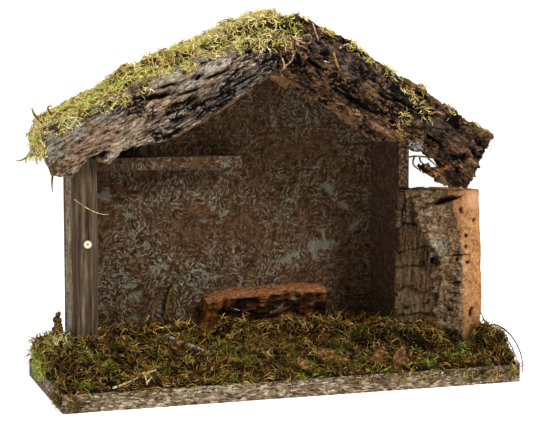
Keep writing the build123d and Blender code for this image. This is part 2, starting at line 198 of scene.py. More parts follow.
# Each lamp: name, place and size in metres, power in watts
lamp_rows = (
    ("key_lamp", (0.85, -1.4, 1.05), 0.6, 27.0),
    ("fill_lamp", (-1.1, -1.3, 0.6), 1.0, 5.0),
    ("top_lamp", (0.0, -0.15, 1.4), 0.7, 14.0),
)
aim = Vector((0, 0, 0.1))
for name, spot, size, power in lamp_rows:
    bpy.ops.object.light_add(type="AREA", location=spot)
    lamp = bpy.context.object
    lamp.name = name
    lamp.data.shape = "DISK"
    lamp.data.size = size
    lamp.data.energy = power
    lamp.rotation_euler = (aim - lamp.location).to_track_quat("-Z", "Y").to_euler()
print("studio with", len(lamp_rows), "lamps")

# %% Studio floor
bpy.ops.object.select_all(action="DESELECT")
bpy.ops.mesh.primitive_plane_add(size=8.0, location=(0, 2.0, 0))
floor = bpy.context.object
floor.name = "studio_floor"
bpy.ops.object.transform_apply(location=True)
bpy.ops.object.mode_set(mode="EDIT")
bpy.ops.mesh.select_mode(type="EDGE")
bpy.ops.mesh.select_all(action="DESELECT")
bpy.ops.object.mode_set(mode="OBJECT")
for edge in floor.data.edges:
    edge.select = all(floor.data.vertices[v].co.y > 5 for v in edge.vertices)
bpy.ops.object.mode_set(mode="EDIT")
bpy.ops.mesh.extrude_region_move(TRANSFORM_OT_translate={"value": (0, 1.0, 4.0)})
bpy.ops.object.mode_set(mode="OBJECT")
paper, add, shader, place = new_finish("studio_paper_matt", 0.9)
shader.inputs["Base Color"].default_value = linear("#f4f4f2")
shader.inputs["Emission Color"].default_value = linear("#ffffff")
shader.inputs["Emission Strength"].default_value = 0.8
floor.data.materials.append(paper)
print(floor.name, [round(side, 1) for side in floor.dimensions], "m")

# %% [markdown]
# ## Sponged paint
# The house is chipboard, painted dark brown and then dabbed with a torn sponge in beige and
# grey-green. The dabs are small curved strokes, three to six millimetres long, with a few
# larger blotches. A cell pattern gives each stroke its middle, each cell's random colour turns
# it and sets its strength, and a wide noise leans neighbours alike, as one dab of the sponge
# does. An image could do it too, but a pattern has no seams.

# %% Spots and strokes
def spot_distance(add, place, x, z, long, high, tilt):
    """How far a point lies from a spot on the front, in shares of the spot's half size."""
    near = add("VectorMath", place, (x * mm, 0, z * mm), operation="SUBTRACT")
    near = add("VectorRotate", near, Angle=math.radians(tilt), rotation_type="Y_AXIS")
    near = add("VectorMath", near, (1 / (long * mm), 0, 1 / (high * mm)), operation="MULTIPLY")
    return add("VectorMath", near, operation="LENGTH")


def ragged_spot(add, place, spot, noise, fray, full, none, cover=1.0, **settings):
    """How much a spot covers. A noise frays its rim, and it fades from a full to an empty distance."""
    near = spot_distance(add, place, *spot)
    near = add("Math", noise, fray, near, operation="MULTIPLY_ADD")
    return add("MapRange", near, full, none, cover, 0.0, **settings)


# Each layer: shift, cell size, half length and half width of its strokes, in millimetres
layer_rows = ((0, 3.8, 2.6, 0.42), (41, 4.6, 3.2, 0.5), (83, 3.2, 2.2, 0.38), (127, 4.2, 2.9, 0.44))


def sponge_strokes(add, place, axes):
    """Small curved strokes of a torn sponge, in a few layers of cells."""
    # The back runs along X and the walls along Y, so their sum runs along both
    run = add("Math", axes.outputs["X"], axes.outputs["Y"], operation="ADD")
    sheet = add("CombineXYZ", X=run, Y=axes.outputs["Z"])
    wobble = add("TexNoise", sheet, Scale=1 / (3.5 * mm), Detail=2.0)
    wobble = add("VectorMath", wobble.outputs["Color"], 1.3 * mm, operation="SCALE")
    sheet = add("VectorMath", sheet, wobble, operation="ADD")
    lean = add("TexNoise", place, Scale=1 / (17 * mm), Detail=1.0)
    lean = add("Math", lean, -9.0, operation="MULTIPLY")
    flecks = None
    for shift, cell, half_long, half_wide in layer_rows:
        moved = add("VectorMath", sheet, (shift * mm, shift * mm, 0), operation="ADD")
        cells = add("TexVoronoi", moved, Scale=1 / (cell * mm), voronoi_dimensions="2D")
        chance = add("SeparateColor", cells.outputs["Color"])
        near = add("VectorMath", moved, cells.outputs["Position"], operation="SUBTRACT")
        turn = add("Math", chance, 1.5, lean, operation="MULTIPLY_ADD")
        near = add("SeparateXYZ", add("VectorRotate", near, Angle=turn, rotation_type="Z_AXIS"))
        bow = add("Math", near.outputs["X"], 2.0, operation="POWER")
        bow = add("Math", bow, 0.07 / mm, near.outputs["Y"], operation="MULTIPLY_ADD")
        bow = add("Math", bow, operation="ABSOLUTE")
        reach = add("Math", near.outputs["X"], operation="ABSOLUTE")
        short = add("MapRange", chance.outputs["Blue"], 0.0, 1.0, 2.2, 0.8)
        reach = add("Math", reach, short, operation="MULTIPLY")
        fleck = add("MapRange", chance.outputs["Green"], 0.0, 1.0, -0.25, 0.8)
        for distance, half in ((bow, half_wide), (reach, half_long)):
            stroke = add("MapRange", distance, 0.6 * half * mm, 1.3 * half * mm, 1.0, 0.0)
            fleck = add("Math", fleck, stroke, operation="MULTIPLY")
        flecks = add("Math", fleck, flecks, operation="MAXIMUM") if flecks else fleck
    return flecks


# %% Sponged paint
def sponged_paint(name, ground_colours, fleck_colours, blot_colour, spots=()):
    """Chipboard, painted with a sponge: matt brown, curved pale strokes, grey-green blotches."""
    finish, add, shader, place = new_finish(name, 0.85)
    axes = add("SeparateXYZ", place)
    flecks = sponge_strokes(add, place, axes)
    dabs = add("TexNoise", place, Scale=1 / (30 * mm), Detail=2.0)
    strength = add("MapRange", dabs, 0.38, 0.62, 0.4, 1.3)
    flecks = add("Math", flecks, strength, operation="MULTIPLY")
    # Painted light: more and stronger flecks and more blotches low down at the left, fewer towards the
    # right as painted shade
    painted_light_left = add("MapRange", axes.outputs["X"], -125 * mm, 100 * mm, 1.0, -0.4)
    low = add("MapRange", axes.outputs["Z"], 40 * mm, 150 * mm, 1.0, 0.0)
    painted_light_left = add("Math", painted_light_left, low, operation="MULTIPLY")
    painted_light_gain = add("Math", painted_light_left, 1.3, 1.0, operation="MULTIPLY_ADD")
    flecks = add("Math", flecks, painted_light_gain, operation="MULTIPLY")
    worn = add("TexNoise", place, Scale=1 / (1.8 * mm), Detail=3.0, Roughness=0.7)
    worn = add("MapRange", worn, 0.38, 0.56, 0.15)
    flecks = add("Math", flecks, worn, operation="MULTIPLY")
    blots = add("TexNoise", place, Scale=1 / (14 * mm), Detail=3.0, Distortion=0.8)
    blots = add("Math", painted_light_left, 0.14, blots, operation="MULTIPLY_ADD")
    blots = add("MapRange", blots, 0.64, 0.72, 0.0, 0.6)
    torn = add("TexNoise", place, Scale=1 / (7 * mm), Detail=4.0, Roughness=0.65)
    for spot in spots:
        share = ragged_spot(add, place, spot, torn, 3.0, 1.9, 2.2, 0.5)
        blots = add("Math", share, blots, operation="MAXIMUM")
    ground = add("TexNoise", place, Scale=1 / (5 * mm), Detail=4.0)
    ground = add("ValToRGB", ground, stops=list(zip((0.36, 0.5, 0.64), ground_colours)))
    pale = add("ValToRGB", dabs, stops=list(zip((0.4, 0.5, 0.6), fleck_colours)))
    painted = add("Mix", flecks, ground, pale, data_type="RGBA")
    painted = add("Mix", blots, painted, linear(blot_colour), data_type="RGBA")
    grit = add("TexNoise", place, Scale=1 / (1.4 * mm), Detail=3.0)
    show(add, shader, painted, grit, 0.5, 0.3)
    return finish


# Each larger blotch on the back: middle x and z, half length, half height and tilt
back_spots = (
    (60, 88, 20, 9, 15), (66, 133, 12, 5, -25), (90, 105, 12, 5, 35),
    (80, 119, 8, 5, -40), (35, 80, 9, 8, 60), (-108, 132, 9, 6, 30),
)
inner_paint = sponged_paint(
    "chipboard_sponged_brown", ("#2a190c", "#3c2715", "#4e3723"),
    ("#8e785b", "#8a7b63", "#828070"), "#767868", back_spots,
)
# The left wall gets the same sponged paint in lighter colours, as painted light where it catches more light
# than the back.
lit_side_paint = sponged_paint(
    "chipboard_sponged_lit_side", ("#4e3823", "#694f36", "#816748"),
    ("#c4ad89", "#b5a588", "#a8a088"), "#9a957f",
)
paint_nodes(inner_paint, "back_panel", "corner_loft")
paint_nodes(lit_side_paint, "left_wall")

# %% Plain brown paint on the right wall
# Chipboard, brushed with thin brown paint: dark brown and finely mottled, with a lighter tone on its
# front-facing faces as painted light.
brown, add, shader, place = new_finish("chipboard_brown_paint", 0.8)
mottle = add("TexNoise", place, Scale=1 / (2.2 * mm), Detail=5.0)
tone = add("ValToRGB", mottle, stops=((0.3, "#33231a"), (0.52, "#463225"), (0.7, "#6d5745")))
# Painted light: faces that look to the front, towards the lamps, get this lighter tone.
lit_edge_tone = add("ValToRGB", mottle, stops=((0.36, "#2e1f12"), (0.5, "#4f3b28"), (0.64, "#8d7356")))
facing = add("NewGeometry").outputs["Normal"]
facing = add("SeparateXYZ", facing).outputs["Y"]
edge = add("MapRange", facing, -0.9, -0.6, 1.0, 0.0)
tone = add("Mix", edge, tone, lit_edge_tone, data_type="RGBA")
show(add, shader, tone, mottle, 0.6, 0.4)
paint_nodes(brown, "right_wall")

# %% [markdown]
# ## Raw chipboard
# The base is bare chipboard. Its sawn edge shows pressed flakes lying flat, a few millimetres
# long and under a millimetre thick, pale and grey-beige, with dark pits between them. Cells
# stretched along the board give the flakes, and a noise threshold gives the pits.

# %% Chipboard base and roof boards
# Chipboard, sawn and unfinished: matt, flaky, grey-beige with dark pits.
chipboard, add, shader, place = new_finish("chipboard_sawn_raw", 0.9)
flat = add("VectorMath", place, (1.0, 1.0, 3.2), operation="MULTIPLY")
bend = add("TexNoise", place, Scale=1 / (5 * mm), Detail=2.0)
bend = add("VectorMath", bend.outputs["Color"], 2.4 * mm, operation="SCALE")
flat = add("VectorMath", flat, bend, operation="ADD")
chips = add("TexVoronoi", flat, Scale=1 / (3.2 * mm))
chip_tone = add("SeparateColor", chips.outputs["Color"])
chip_colour = add(
    "ValToRGB", chip_tone,
    stops=((0.0, "#34271a"), (0.3, "#5e4d3a"), (0.7, "#84735c"), (1.0, "#bbac93")),
)
specks = add("TexNoise", flat, Scale=1 / (1.6 * mm), Detail=3.0, Roughness=0.6)
pits = add("MapRange", specks, 0.38, 0.45, 1.0, 0.0)
worn = add("Mix", pits, chip_colour, linear("#38291a"), data_type="RGBA")
show(add, shader, worn, specks, 0.9, 0.7)
paint_nodes(chipboard, "base_board", "left_roof_board", "right_roof_board")

# %% Steel brads
# Galvanised steel wire, drawn flat: dull grey with faint drawing lines.
steel, add, shader, place = new_finish("steel_galvanised_drawn", 0.45)
lines = add("TexNoise", place, Scale=1 / (0.6 * mm), Detail=2.0)
tone = add("ValToRGB", lines, stops=((0.3, "#8f9294"), (0.7, "#b9bcbe")))
show(add, shader, tone)
shader.inputs["Metallic"].default_value = 1.0
paint_nodes(steel, "panel_brads", "loft_brads", "base_brads", "roof_brads")

# %% [markdown]
# ## A skin that can be shaped
# Bark, cork and moss are too rough for a solid model. Each of these pieces starts as a copy
# of its solid, turned into an even skin of small squares by the Remesh modifier. Its relief
# could be sculpted by hand. Here a small node tree moves every point along its normal by
# patterns that have a real size, so the relief is the same on each run. The tree also keeps
# what it knows, such as how deep a crack is, as attributes that the finish reads.

# %% Skins
def use_only(piece):
    """Make a piece the only selected and active object."""
    bpy.ops.object.select_all(action="DESELECT")
    piece.select_set(True)
    bpy.context.view_layer.objects.active = piece


def remesh(piece, square):
    """Turn the active piece into an even skin of small squares."""
    even = piece.modifiers.new("even_squares", "REMESH")
    even.mode = "VOXEL"
    even.voxel_size = square
    bpy.ops.object.modifier_apply(modifier=even.name)


def even_skin(node, name, square):
    """A copy of a CAD node's mesh, merged and remeshed to small even squares."""
    piece = bpy.data.objects.new(name, frame["nodes"][node].data.copy())
    bpy.context.scene.collection.objects.link(piece)
    use_only(piece)
    bpy.ops.object.mode_set(mode="EDIT")
    bpy.ops.mesh.select_all(action="SELECT")
    bpy.ops.mesh.remove_doubles(threshold=0.01 * mm)
    bpy.ops.object.mode_set(mode="OBJECT")
    remesh(piece, square)
    return piece


# %% Shaping helpers
def new_shaping(name):
    """A shaping tree with its own add, and its skin with each point's place and normal."""
    tree = bpy.data.node_groups.new(name, "GeometryNodeTree")
    for label, way in (("Skin", "INPUT"), ("Shaped", "OUTPUT")):
        tree.interface.new_socket(label, in_out=way, socket_type="NodeSocketGeometry")
    add = partial(add_node, tree)
    return tree, add, add("GroupInput"), add("InputPosition"), add("InputNormal")


def push_out(add, skin, facing, height, drag=None, **kept):
    """End a shaping: points move along their normals by a height, and by a drag where there is one.

    Named values are kept as attributes of the skin, for its finish to read.
    """
    for name, value in kept.items():
        skin = add("StoreNamedAttribute", skin, Name=name, Value=value, data_type="FLOAT", domain="POINT")
    push = add("VectorMath", facing, height, operation="SCALE")
    if drag is not None:
        push = add("VectorMath", push, drag, operation="ADD")
    add("GroupOutput", add("SetPosition", skin, Offset=push))


def grain_pattern(add, place, sizes, **settings):
    """Grain that has a length of its own along each axis, in millimetres."""
    sizes = tuple(1 / (size * mm) for size in sizes)
    return add("TexNoise", add("VectorMath", place, sizes, operation="MULTIPLY"), Scale=1.0, **settings)


def shape(piece, tree):
    """Run a shaping tree on a piece and keep the result as its mesh."""
    use_only(piece)
    shaping = piece.modifiers.new("shaping", "NODES")
    shaping.node_group = tree
    bpy.ops.object.modifier_apply(modifier=shaping.name)
    print(piece.name, "shaped with", len(piece.data.vertices), "points")


def fit_piece(piece, finish, slot, *nodes):
    """Finish a piece: its material, its body and the CAD nodes that it stands for; the slot is not used."""
    if finish:
        piece.data.materials.clear()
        piece.data.materials.append(finish)
    piece.data.shade_smooth()
    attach(piece, "root")
    if nodes:
        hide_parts(*nodes)
    piece.data.calc_loop_triangles()
    print(piece.name, len(piece.data.loop_triangles), "triangles")


# %% [markdown]
# ## Roof bark
# Two slabs of old bark hide the roof's front edge. Bark splits as the trunk grows: long
# fissures run along the fibre, which here follows the slope, and the ridges between them are
# lumpy and frayed. A noise that is stretched along the slope gives the ridges. The fissures
# are level lines of a second one, which are long, wavy and never quite parallel. Single deep
# gouges are put where the real slabs have them.

# %% Bark shaping
def bark_shaping(name, slope, grain, crack_depth, lump_height, gouges, calm=()):
    """Ridges and fissures along a slope, and single gouges, or lumps where a depth is below zero.

    Cracks are shallow in the calm spots.
    """
    tree, add, skin, place, facing = new_shaping(name)
    across = add("SeparateXYZ", facing)
    along = add("VectorRotate", place, Angle=slope, rotation_type="Y_AXIS")
    wander = add("TexNoise", place, Scale=1 / (26 * mm), Detail=2.0)
    wander = add("VectorMath", wander.outputs["Color"], 8 * mm, operation="SCALE")
    along = add("VectorMath", along, wander, operation="ADD")
    sizes = tuple(1 / (size * mm) for size in grain)
    grid = add("VectorMath", along, sizes, operation="MULTIPLY")
    lumps = add("TexNoise", grid, Scale=0.7, Detail=6.0, Roughness=0.6)
    height = add("MapRange", lumps, 0.28, 0.72, -lump_height, lump_height)
    broken = add("TexNoise", place, Scale=1 / (13 * mm), Detail=3.0)
    broken = add("MapRange", broken, 0.36, 0.56, 0.4, 1.0)
    for spot in calm:
        still = add("MapRange", spot_distance(add, place, *spot), 0.7, 1.2, 0.3)
        broken = add("Math", still, broken, operation="MULTIPLY")
    cracks = None
    # Each set of cracks: how much finer than the ridges, depth and width, in shares
    for finer, deep, width in ((1.0, 1.0, 0.05), (2.1, 0.6, 0.06), (4.4, 0.3, 0.07), (8.0, 0.14, 0.08)):
        moved = add("VectorMath", grid, (finer * 7, 3.3, finer), operation="ADD")
        lines = add("TexNoise", moved, Scale=finer, Detail=2.0)
        level = add("Math", lines, 0.5, operation="SUBTRACT")
        level = add("Math", level, operation="ABSOLUTE")
        crack = add("MapRange", level, 0.002, width, 1.0, 0.0, interpolation_type="SMOOTHSTEP")
        crack = add("Math", crack, broken, operation="MULTIPLY")
        height = add("Math", crack, -deep * crack_depth, height, operation="MULTIPLY_ADD")
        cracks = add("Math", crack, cracks, operation="MAXIMUM") if cracks else crack
    fibres = grain_pattern(add, along, (11, 2.4, 1.9), Detail=5.0, Roughness=0.7)
    fibre = add("MapRange", fibres, 0.25, 0.75, -0.9 * mm, 0.9 * mm)
    height = add("Math", height, fibre, operation="ADD")
    for *spot, deep in gouges:
        hole = ragged_spot(add, place, spot, fibres, 0.6, 0.6, 1.3, interpolation_type="SMOOTHSTEP")
        height = add("Math", hole, -deep * mm, height, operation="MULTIPLY_ADD")
        if deep > 0:
            cracks = add("Math", hole, cracks, operation="MAXIMUM")
    front = add("MapRange", across.outputs["Y"], 0.2, 0.8, 1.0, 0.0)
    height = add("Math", height, front, operation="MULTIPLY")
    under = add("MapRange", across.outputs["Z"], -0.85, -0.55, 1.0, 0.0)
    push_out(add, skin, facing, height, crack=cracks, lump=lumps, fibre=fibres, under=under)
    return tree


# %% Shape both slabs
roof_rise, left_run, right_run = 66, 134, 114
left_slope = math.atan2(roof_rise, left_run)
right_slope = math.atan2(roof_rise, right_run)
# Each gouge: middle x and z, half length, half height, tilt, depth, in millimetres and degrees
left_gouges = (
    (-93, 204, 19, 3.2, 9, 6),
    (-63, 217, 5, 2.2, 45, 4),
    (-134, 161, 15, 4, 34, 5),
    (-103, 168, 20, 3, 12, 5),
    (-60, 199, 16, 1.6, 26, 3),
    (-30, 214, 22, 1.3, 26, 2.5),
    (-46, 204, 18, 1.2, 24, 2.5),
    (-50, 224, 18, 4.2, 18, -4.5),
    (-68, 211.5, 13, 3.2, 18, -4),
    (-84, 217, 12, 4, 15, -3.5),
    (-61, 229, 10, 3.5, 18, -3),
    # The last four gouges run under the pale folds: cut in, and painted near black as painted shadow below
    # them.
    (-50, 218.5, 14, 1.3, 18, 4),
    (-69, 207, 12, 1.3, 18, 3.5),
    (-83, 211.5, 11, 1.2, 15, 3.5),
    (-58, 226.5, 11, 0.9, 18, 3),
)
# Each calm spot: middle x and z, half length, half height and tilt
calm_spots = ((-145, 170, 36, 20, 20), (-66, 219, 36, 11, 20))
left_bark = even_skin("left_roof_bark", "left_bark_slab", 0.75 * mm)
# The slab's outer end runs to a point at the bottom
point_top, point_height = 166 * mm, 24 * mm
point_start, point_length = -138 * mm, 29 * mm
drawn_in, drawn_up = 9 * mm, 5 * mm
for vertex in left_bark.data.vertices:
    low = min(max((point_top - vertex.co.z) / point_height, 0), 1)
    outer = min(max((point_start - vertex.co.x) / point_length, 0), 1)
    vertex.co.x += drawn_in * low * outer
    vertex.co.z += drawn_up * low * (1 - outer) * (outer > 0)
left_relief = bark_shaping(
    "left_bark_relief", left_slope, (58, 14, 8), 2.8 * mm, 2.4 * mm, left_gouges, calm_spots,
)
shape(left_bark, left_relief)
right_gouges = (
    (22, 226, 12, 2.6, -34, 5),
    (52, 199, 22, 2.6, -30, 5),
    (84, 182, 12, 2.2, -34, 5),
    (92, 198, 14, 2.0, -26, 4),
    (114, 170, 11, 2.4, -40, 5),
    (137, 160, 4, 6.0, -24, 6),
    (70, 206, 17, 7, -30, -4),
    (96, 188, 11, 6, -30, -4),
    (127, 167, 10, 8, 0, -5),
    (30, 236, 14, 5, -30, -3),
)
right_bark = even_skin("right_roof_bark", "right_bark_slab", 0.8 * mm)
right_relief = bark_shaping(
    "right_bark_relief", -right_slope, (34, 14, 9), 2.8 * mm, 4.2 * mm, right_gouges,
)
shape(right_bark, right_relief)

# %% [markdown]
# ## Bark finish
# Weathered bark is grey on the ridges, brown in the flanks and nearly black in the cracks, partly its own
# colour and partly painted shade.
# Its inner side, which shows along the lower edge, is pale and orange. The attributes of the
# shaping say where each of these is, so one recipe serves both slabs. Patches give single
# places their own pair of colours, such as a pale fold or a strip of inner bark.

# %% Bark finishes
def bark_finish(name, ridge_colours, crack_shade_colour, inner_colours, slope, patches):
    """Bark, weathered: cracks painted near black, partly as painted shade, brown flanks, grey ridges, a
    pale inner side and patches.
    """
    finish, add, shader, place, crack, lump, fibre, under = new_finish(
        name, 0.88, "crack", "lump", "fibre", "under",
    )
    along = add("VectorRotate", place, Angle=slope, rotation_type="Y_AXIS")
    grain = grain_pattern(add, along, (4.2, 1.7, 1.4), Detail=4.0, Roughness=0.75)
    mixed = add("Math", lump, 0.25, 0.0, operation="MULTIPLY_ADD")
    mixed = add("Math", fibre, 0.35, mixed, operation="MULTIPLY_ADD")
    mixed = add("Math", grain, 0.4, mixed, operation="MULTIPLY_ADD")
    speckle = add("Mix", 0.4, grain, fibre, data_type="FLOAT")
    places = (0.42, 0.475, 0.53, 0.585)
    skin = add("ValToRGB", mixed, stops=list(zip(places, ridge_colours)))
    ragged = add("TexNoise", place, Scale=1 / (9 * mm), Detail=5.0, Roughness=0.7)
    for *spot, dark, pale, cover in patches:
        share = ragged_spot(add, place, (*spot, math.degrees(slope)), ragged, 1.8, 1.6, 1.9, cover)
        tone = add("ValToRGB", speckle, stops=((0.43, dark), (0.58, pale)))
        skin = add("Mix", share, skin, tone, data_type="RGBA")
    inner = add("ValToRGB", fibre, stops=((0.35, inner_colours[0]), (0.65, inner_colours[1])))
    skin = add("Mix", under, skin, inner, data_type="RGBA")
    # Cracks and gouges are painted near black: partly the bark's own colour, partly painted shade in the
    # fissures.
    deep = add("MapRange", crack, 0.25, 0.8)
    skin = add("Mix", deep, skin, linear(crack_shade_colour), data_type="RGBA")
    show(add, shader, skin, grain, 0.8, 0.7)
    return finish


# %% Colour both slabs
# Each patch: middle x and z, half length, half height, its dark and its pale colour, its cover
left_patches = (
    (-148, 170, 42, 18, "#1a100a", "#96795f", 0.85),
    (-92, 196, 20, 6, "#33241a", "#ba9a78", 0.75),
    # The next four are the pale folds: pale bark, lighter still as a painted highlight on their lit tops.
    (-50, 224.5, 20, 4.8, "#3f352d", "#bdb0a1", 0.9),
    (-68, 212, 15, 3.9, "#3a3129", "#b3a696", 0.9),
    (-84, 217, 15, 4.8, "#3d342c", "#b5a898", 0.85),
    (-61, 230, 12, 4.2, "#352d26", "#a3978a", 0.85),
    (-32, 203, 4, 5, "#6a6055", "#bdb09f", 0.9),
    (-26, 214, 38, 9, "#171310", "#786e64", 0.85),
    (-66, 193, 30, 5, "#1f1813", "#8f8274", 0.6),
    (-164, 171, 10, 14, "#2b2823", "#8f897b", 0.75),
    (-148, 183, 8, 10, "#4d4b43", "#a09c8e", 0.7),
    (-134, 193, 9, 5, "#1c1a1b", "#5f5a58", 0.85),
    (-126, 191, 14, 6, "#4b4a42", "#aca899", 0.6),
    (-34, 201, 34, 2.0, "#4d321d", "#94693f", 0.6),
)
grey_bark = bark_finish(
    "bark_weathered_grey", ("#140c07", "#4a3b30", "#7d6956", "#b8a68e"), "#080402",
    ("#33251a", "#85694e"), left_slope, left_patches,
)
right_patches = (
    (45, 226, 60, 9, "#0e0a07", "#6b5c4f", 0.8),
    (110, 187, 34, 8, "#0a0705", "#574a40", 0.8),
    (62, 186, 32, 2.8, "#4a3122", "#ad8160", 0.9),
    (100, 166, 9, 8, "#6d645b", "#b8aea2", 0.95),
    (12, 230, 16, 4, "#4a3022", "#a87e60", 0.85),
    (122, 148, 18, 9, "#3c2313", "#a8764a", 0.9),
    (128, 145, 9, 6, "#0c0705", "#33241a", 0.95),
    (106, 173, 14, 6, "#2a1c0e", "#856540", 0.8),
    (70, 204, 20, 8, "#2a1b10", "#94724c", 0.7),
)
dark_bark = bark_finish(
    "bark_weathered_dark", ("#0e0805", "#3a291d", "#664a31", "#9a764c"), "#050201",
    ("#3c2819", "#85623f"), -right_slope, right_patches,
)
fit_piece(left_bark, grey_bark, "grey_bark", "left_roof_bark")
fit_piece(right_bark, dark_bark, "dark_bark", "right_roof_bark")

# %% [markdown]
# ## Cork block
# The block at the right is virgin cork, the first bark of a cork oak. Its hollow inner side
# lies in stacked plates with fine upright lines, its rim is grey and spotted with lichen, and
# the side that was sawn is orange-tan with black pores. The plates are steps in height, each
# with its own offset. They could be modelled as separate blocks, but the real piece is one.

# %% Cork plates and rim
plate_tilt, plate_middle = 0.15, 108
cork = even_skin("cork_block", "cork_slab", 0.8 * mm)
tree, add, skin, place, facing = new_shaping("cork_relief")
axes = add("SeparateXYZ", place)
across = add("SeparateXYZ", facing)
wander = add("TexNoise", place, Scale=1 / (14 * mm), Detail=4.0)
level = add("MapRange", wander, 0.25, 0.75, -4.5 * mm, 4.5 * mm)
level = add("Math", level, axes.outputs["Z"], operation="ADD")
level = add("Math", axes.outputs["X"], -plate_tilt, level, operation="MULTIPLY_ADD")
patchy = add("TexNoise", place, Scale=1 / (8 * mm), Detail=3.0)
patchy = add("MapRange", patchy, 0.4, 0.56)
stack = -4.5 * mm
seams = 0.0
# Each plate edge: its height and how much further the plate above it stands out, in millimetres
for height, out in ((41, 1.6), (48, -1.2), (59, 3.6), (79, -3.2), (90, 2.4), (108, -4.0), (121, -2.4)):
    middle = (height - plate_tilt * plate_middle) * mm
    rising = add("MapRange", level, middle - 0.5 * mm, middle + 0.5 * mm, interpolation_type="SMOOTHSTEP")
    stack = add("Math", rising, out * mm, stack, operation="MULTIPLY_ADD")
    gap = add("Math", level, middle, operation="SUBTRACT")
    gap = add("Math", gap, operation="ABSOLUTE")
    seam = add("MapRange", gap, 0.4 * mm, 1.5 * mm, 1.0, 0.0)
    seams = add("Math", seam, seams, operation="MAXIMUM")
seams = add("Math", seams, patchy, operation="MULTIPLY")
fore = add("Math", across.outputs["X"], across.outputs["Y"], operation="MINIMUM")
fore = add("MapRange", fore, -0.4, 0.0, 1.0, 0.0)
# The crust sweeps over to the left towards the top, and the sawn face widens there
over = add("Math", axes.outputs["Z"], 85 * mm, operation="SUBTRACT")
over = add("Math", over, 0.0, operation="MAXIMUM")
rim = add("Math", wander, 22 * mm, axes.outputs["X"], operation="MULTIPLY_ADD")
rim = add("Math", over, 0.5, rim, operation="MULTIPLY_ADD")
inside = add("MapRange", rim, 136.5 * mm, 139.5 * mm, 1.0, 0.0)
inside = add("Math", inside, fore, operation="MULTIPLY")
ragged = add("TexNoise", place, Scale=1 / (5 * mm), Detail=4.0, Roughness=0.65)
sawn = add("Math", ragged, 8 * mm, axes.outputs["X"], operation="MULTIPLY_ADD")
sawn = add("Math", over, 0.2, sawn, operation="MULTIPLY_ADD")
cut = add("MapRange", sawn, 147 * mm, 148 * mm)
lines = grain_pattern(add, place, (1.3, 1.3, 16), Detail=4.0, Roughness=0.65)
line = add("MapRange", lines, 0.25, 0.75, -0.5 * mm, 0.5 * mm)
crumbs = add("TexNoise", place, Scale=1 / (7 * mm), Detail=6.0, Roughness=0.68)
crumb = add("MapRange", crumbs, 0.25, 0.75, -2.6 * mm, 1.6 * mm)
smooth = add("Math", cut, inside, operation="MAXIMUM")
crumb = add("Mix", smooth, crumb, line, data_type="FLOAT")
height = add("Math", stack, inside, crumb, operation="MULTIPLY_ADD")

# %% Cork swellings and holes
# Each swelling or groove round the knot: middle x and z, half sizes, tilt, depth
swell_rows = ((125, 81, 8.5, 8, 20, -2.8), (127, 63, 2.4, 10, -6, 3.0), (117, 110, 12, 3, -40, -2.0))
for *spot, deep in swell_rows:
    swell = ragged_spot(
        add, place, spot, crumbs, 0.8, 0.9, 1.7, -deep * mm, interpolation_type="SMOOTHSTEP",
    )
    height = add("Math", swell, fore, height, operation="MULTIPLY_ADD")
holes = 0.0
# Each hole: middle x and z, half width, half height, tilt, depth, in millimetres and degrees
hole_rows = (
    (125, 82, 5.0, 4.4, 20, 7.0), (134, 127, 11, 0.9, 22, 3.0), (141.5, 120, 2.0, 2.8, 0, 3.0),
    (146, 101, 1.7, 1.5, 30, 2.0), (145.5, 93, 1.1, 1.7, 0, 1.5), (147, 81, 1.8, 1.6, 0, 2.0),
    (139, 83, 1.2, 1.6, 0, 1.5), (139, 66, 3.2, 0.8, 12, 2.0), (150, 44, 1.5, 5.0, -8, 2.5),
    (141, 86.5, 9, 0.6, 3, 1.5), (152, 112, 0.8, 1.8, 0, 1.0), (154, 66, 0.8, 1.4, 0, 1.0),
    (137, 58, 4.0, 0.6, -4, 1.5), (136, 52, 3.0, 0.6, -6, 1.5),
)
for *spot, deep in hole_rows:
    hole = ragged_spot(add, place, spot, crumbs, 1.2, 1.2, 1.7)
    hole = add("Math", hole, fore, operation="MULTIPLY")
    height = add("Math", hole, -deep * mm, height, operation="MULTIPLY_ADD")
    holes = add("Math", hole, holes, operation="MAXIMUM")
push_out(
    add, skin, facing, height,
    cut=cut, inside=inside, seams=seams, lines=lines, crumbs=crumbs, holes=holes,
)
shape(cork, tree)

# %% Cork finish
# Virgin cork, weathered outside and sawn on one side: lichen-grey rim, brown plates, orange cut face.
cork_finish, add, shader, place, cut, inside, seams, lines, crumbs, holes = new_finish(
    "cork_virgin_weathered", 0.9, "cut", "inside", "seams", "lines", "crumbs", "holes",
)
grain = add("TexNoise", place, Scale=1 / (1.9 * mm), Detail=5.0, Roughness=0.75)
mixed = add("Mix", 0.6, crumbs, grain, data_type="FLOAT")
bands = grain_pattern(add, place, (5, 5, 1.8), Detail=4.0, Roughness=0.65)
crust = add("Mix", 0.25, mixed, bands, data_type="FLOAT")
body = add(
    "ValToRGB", crust,
    stops=((0.42, "#24170d"), (0.48, "#584430"), (0.54, "#836a4c"), (0.61, "#b39873")),
)
patch = ragged_spot(add, place, (127, 92, 10, 9, 30), crumbs, 1.6, 1.3, 1.9, 0.5)
lichen = add("ValToRGB", grain, stops=((0.4, "#4f4537"), (0.6, "#b5ad9c")))
body = add("Mix", patch, body, lichen, data_type="RGBA")
streaks = add("Mix", 0.45, lines, grain, data_type="FLOAT")
plates = add("ValToRGB", streaks, stops=((0.4, "#140c06"), (0.5, "#372616"), (0.6, "#634b30")))
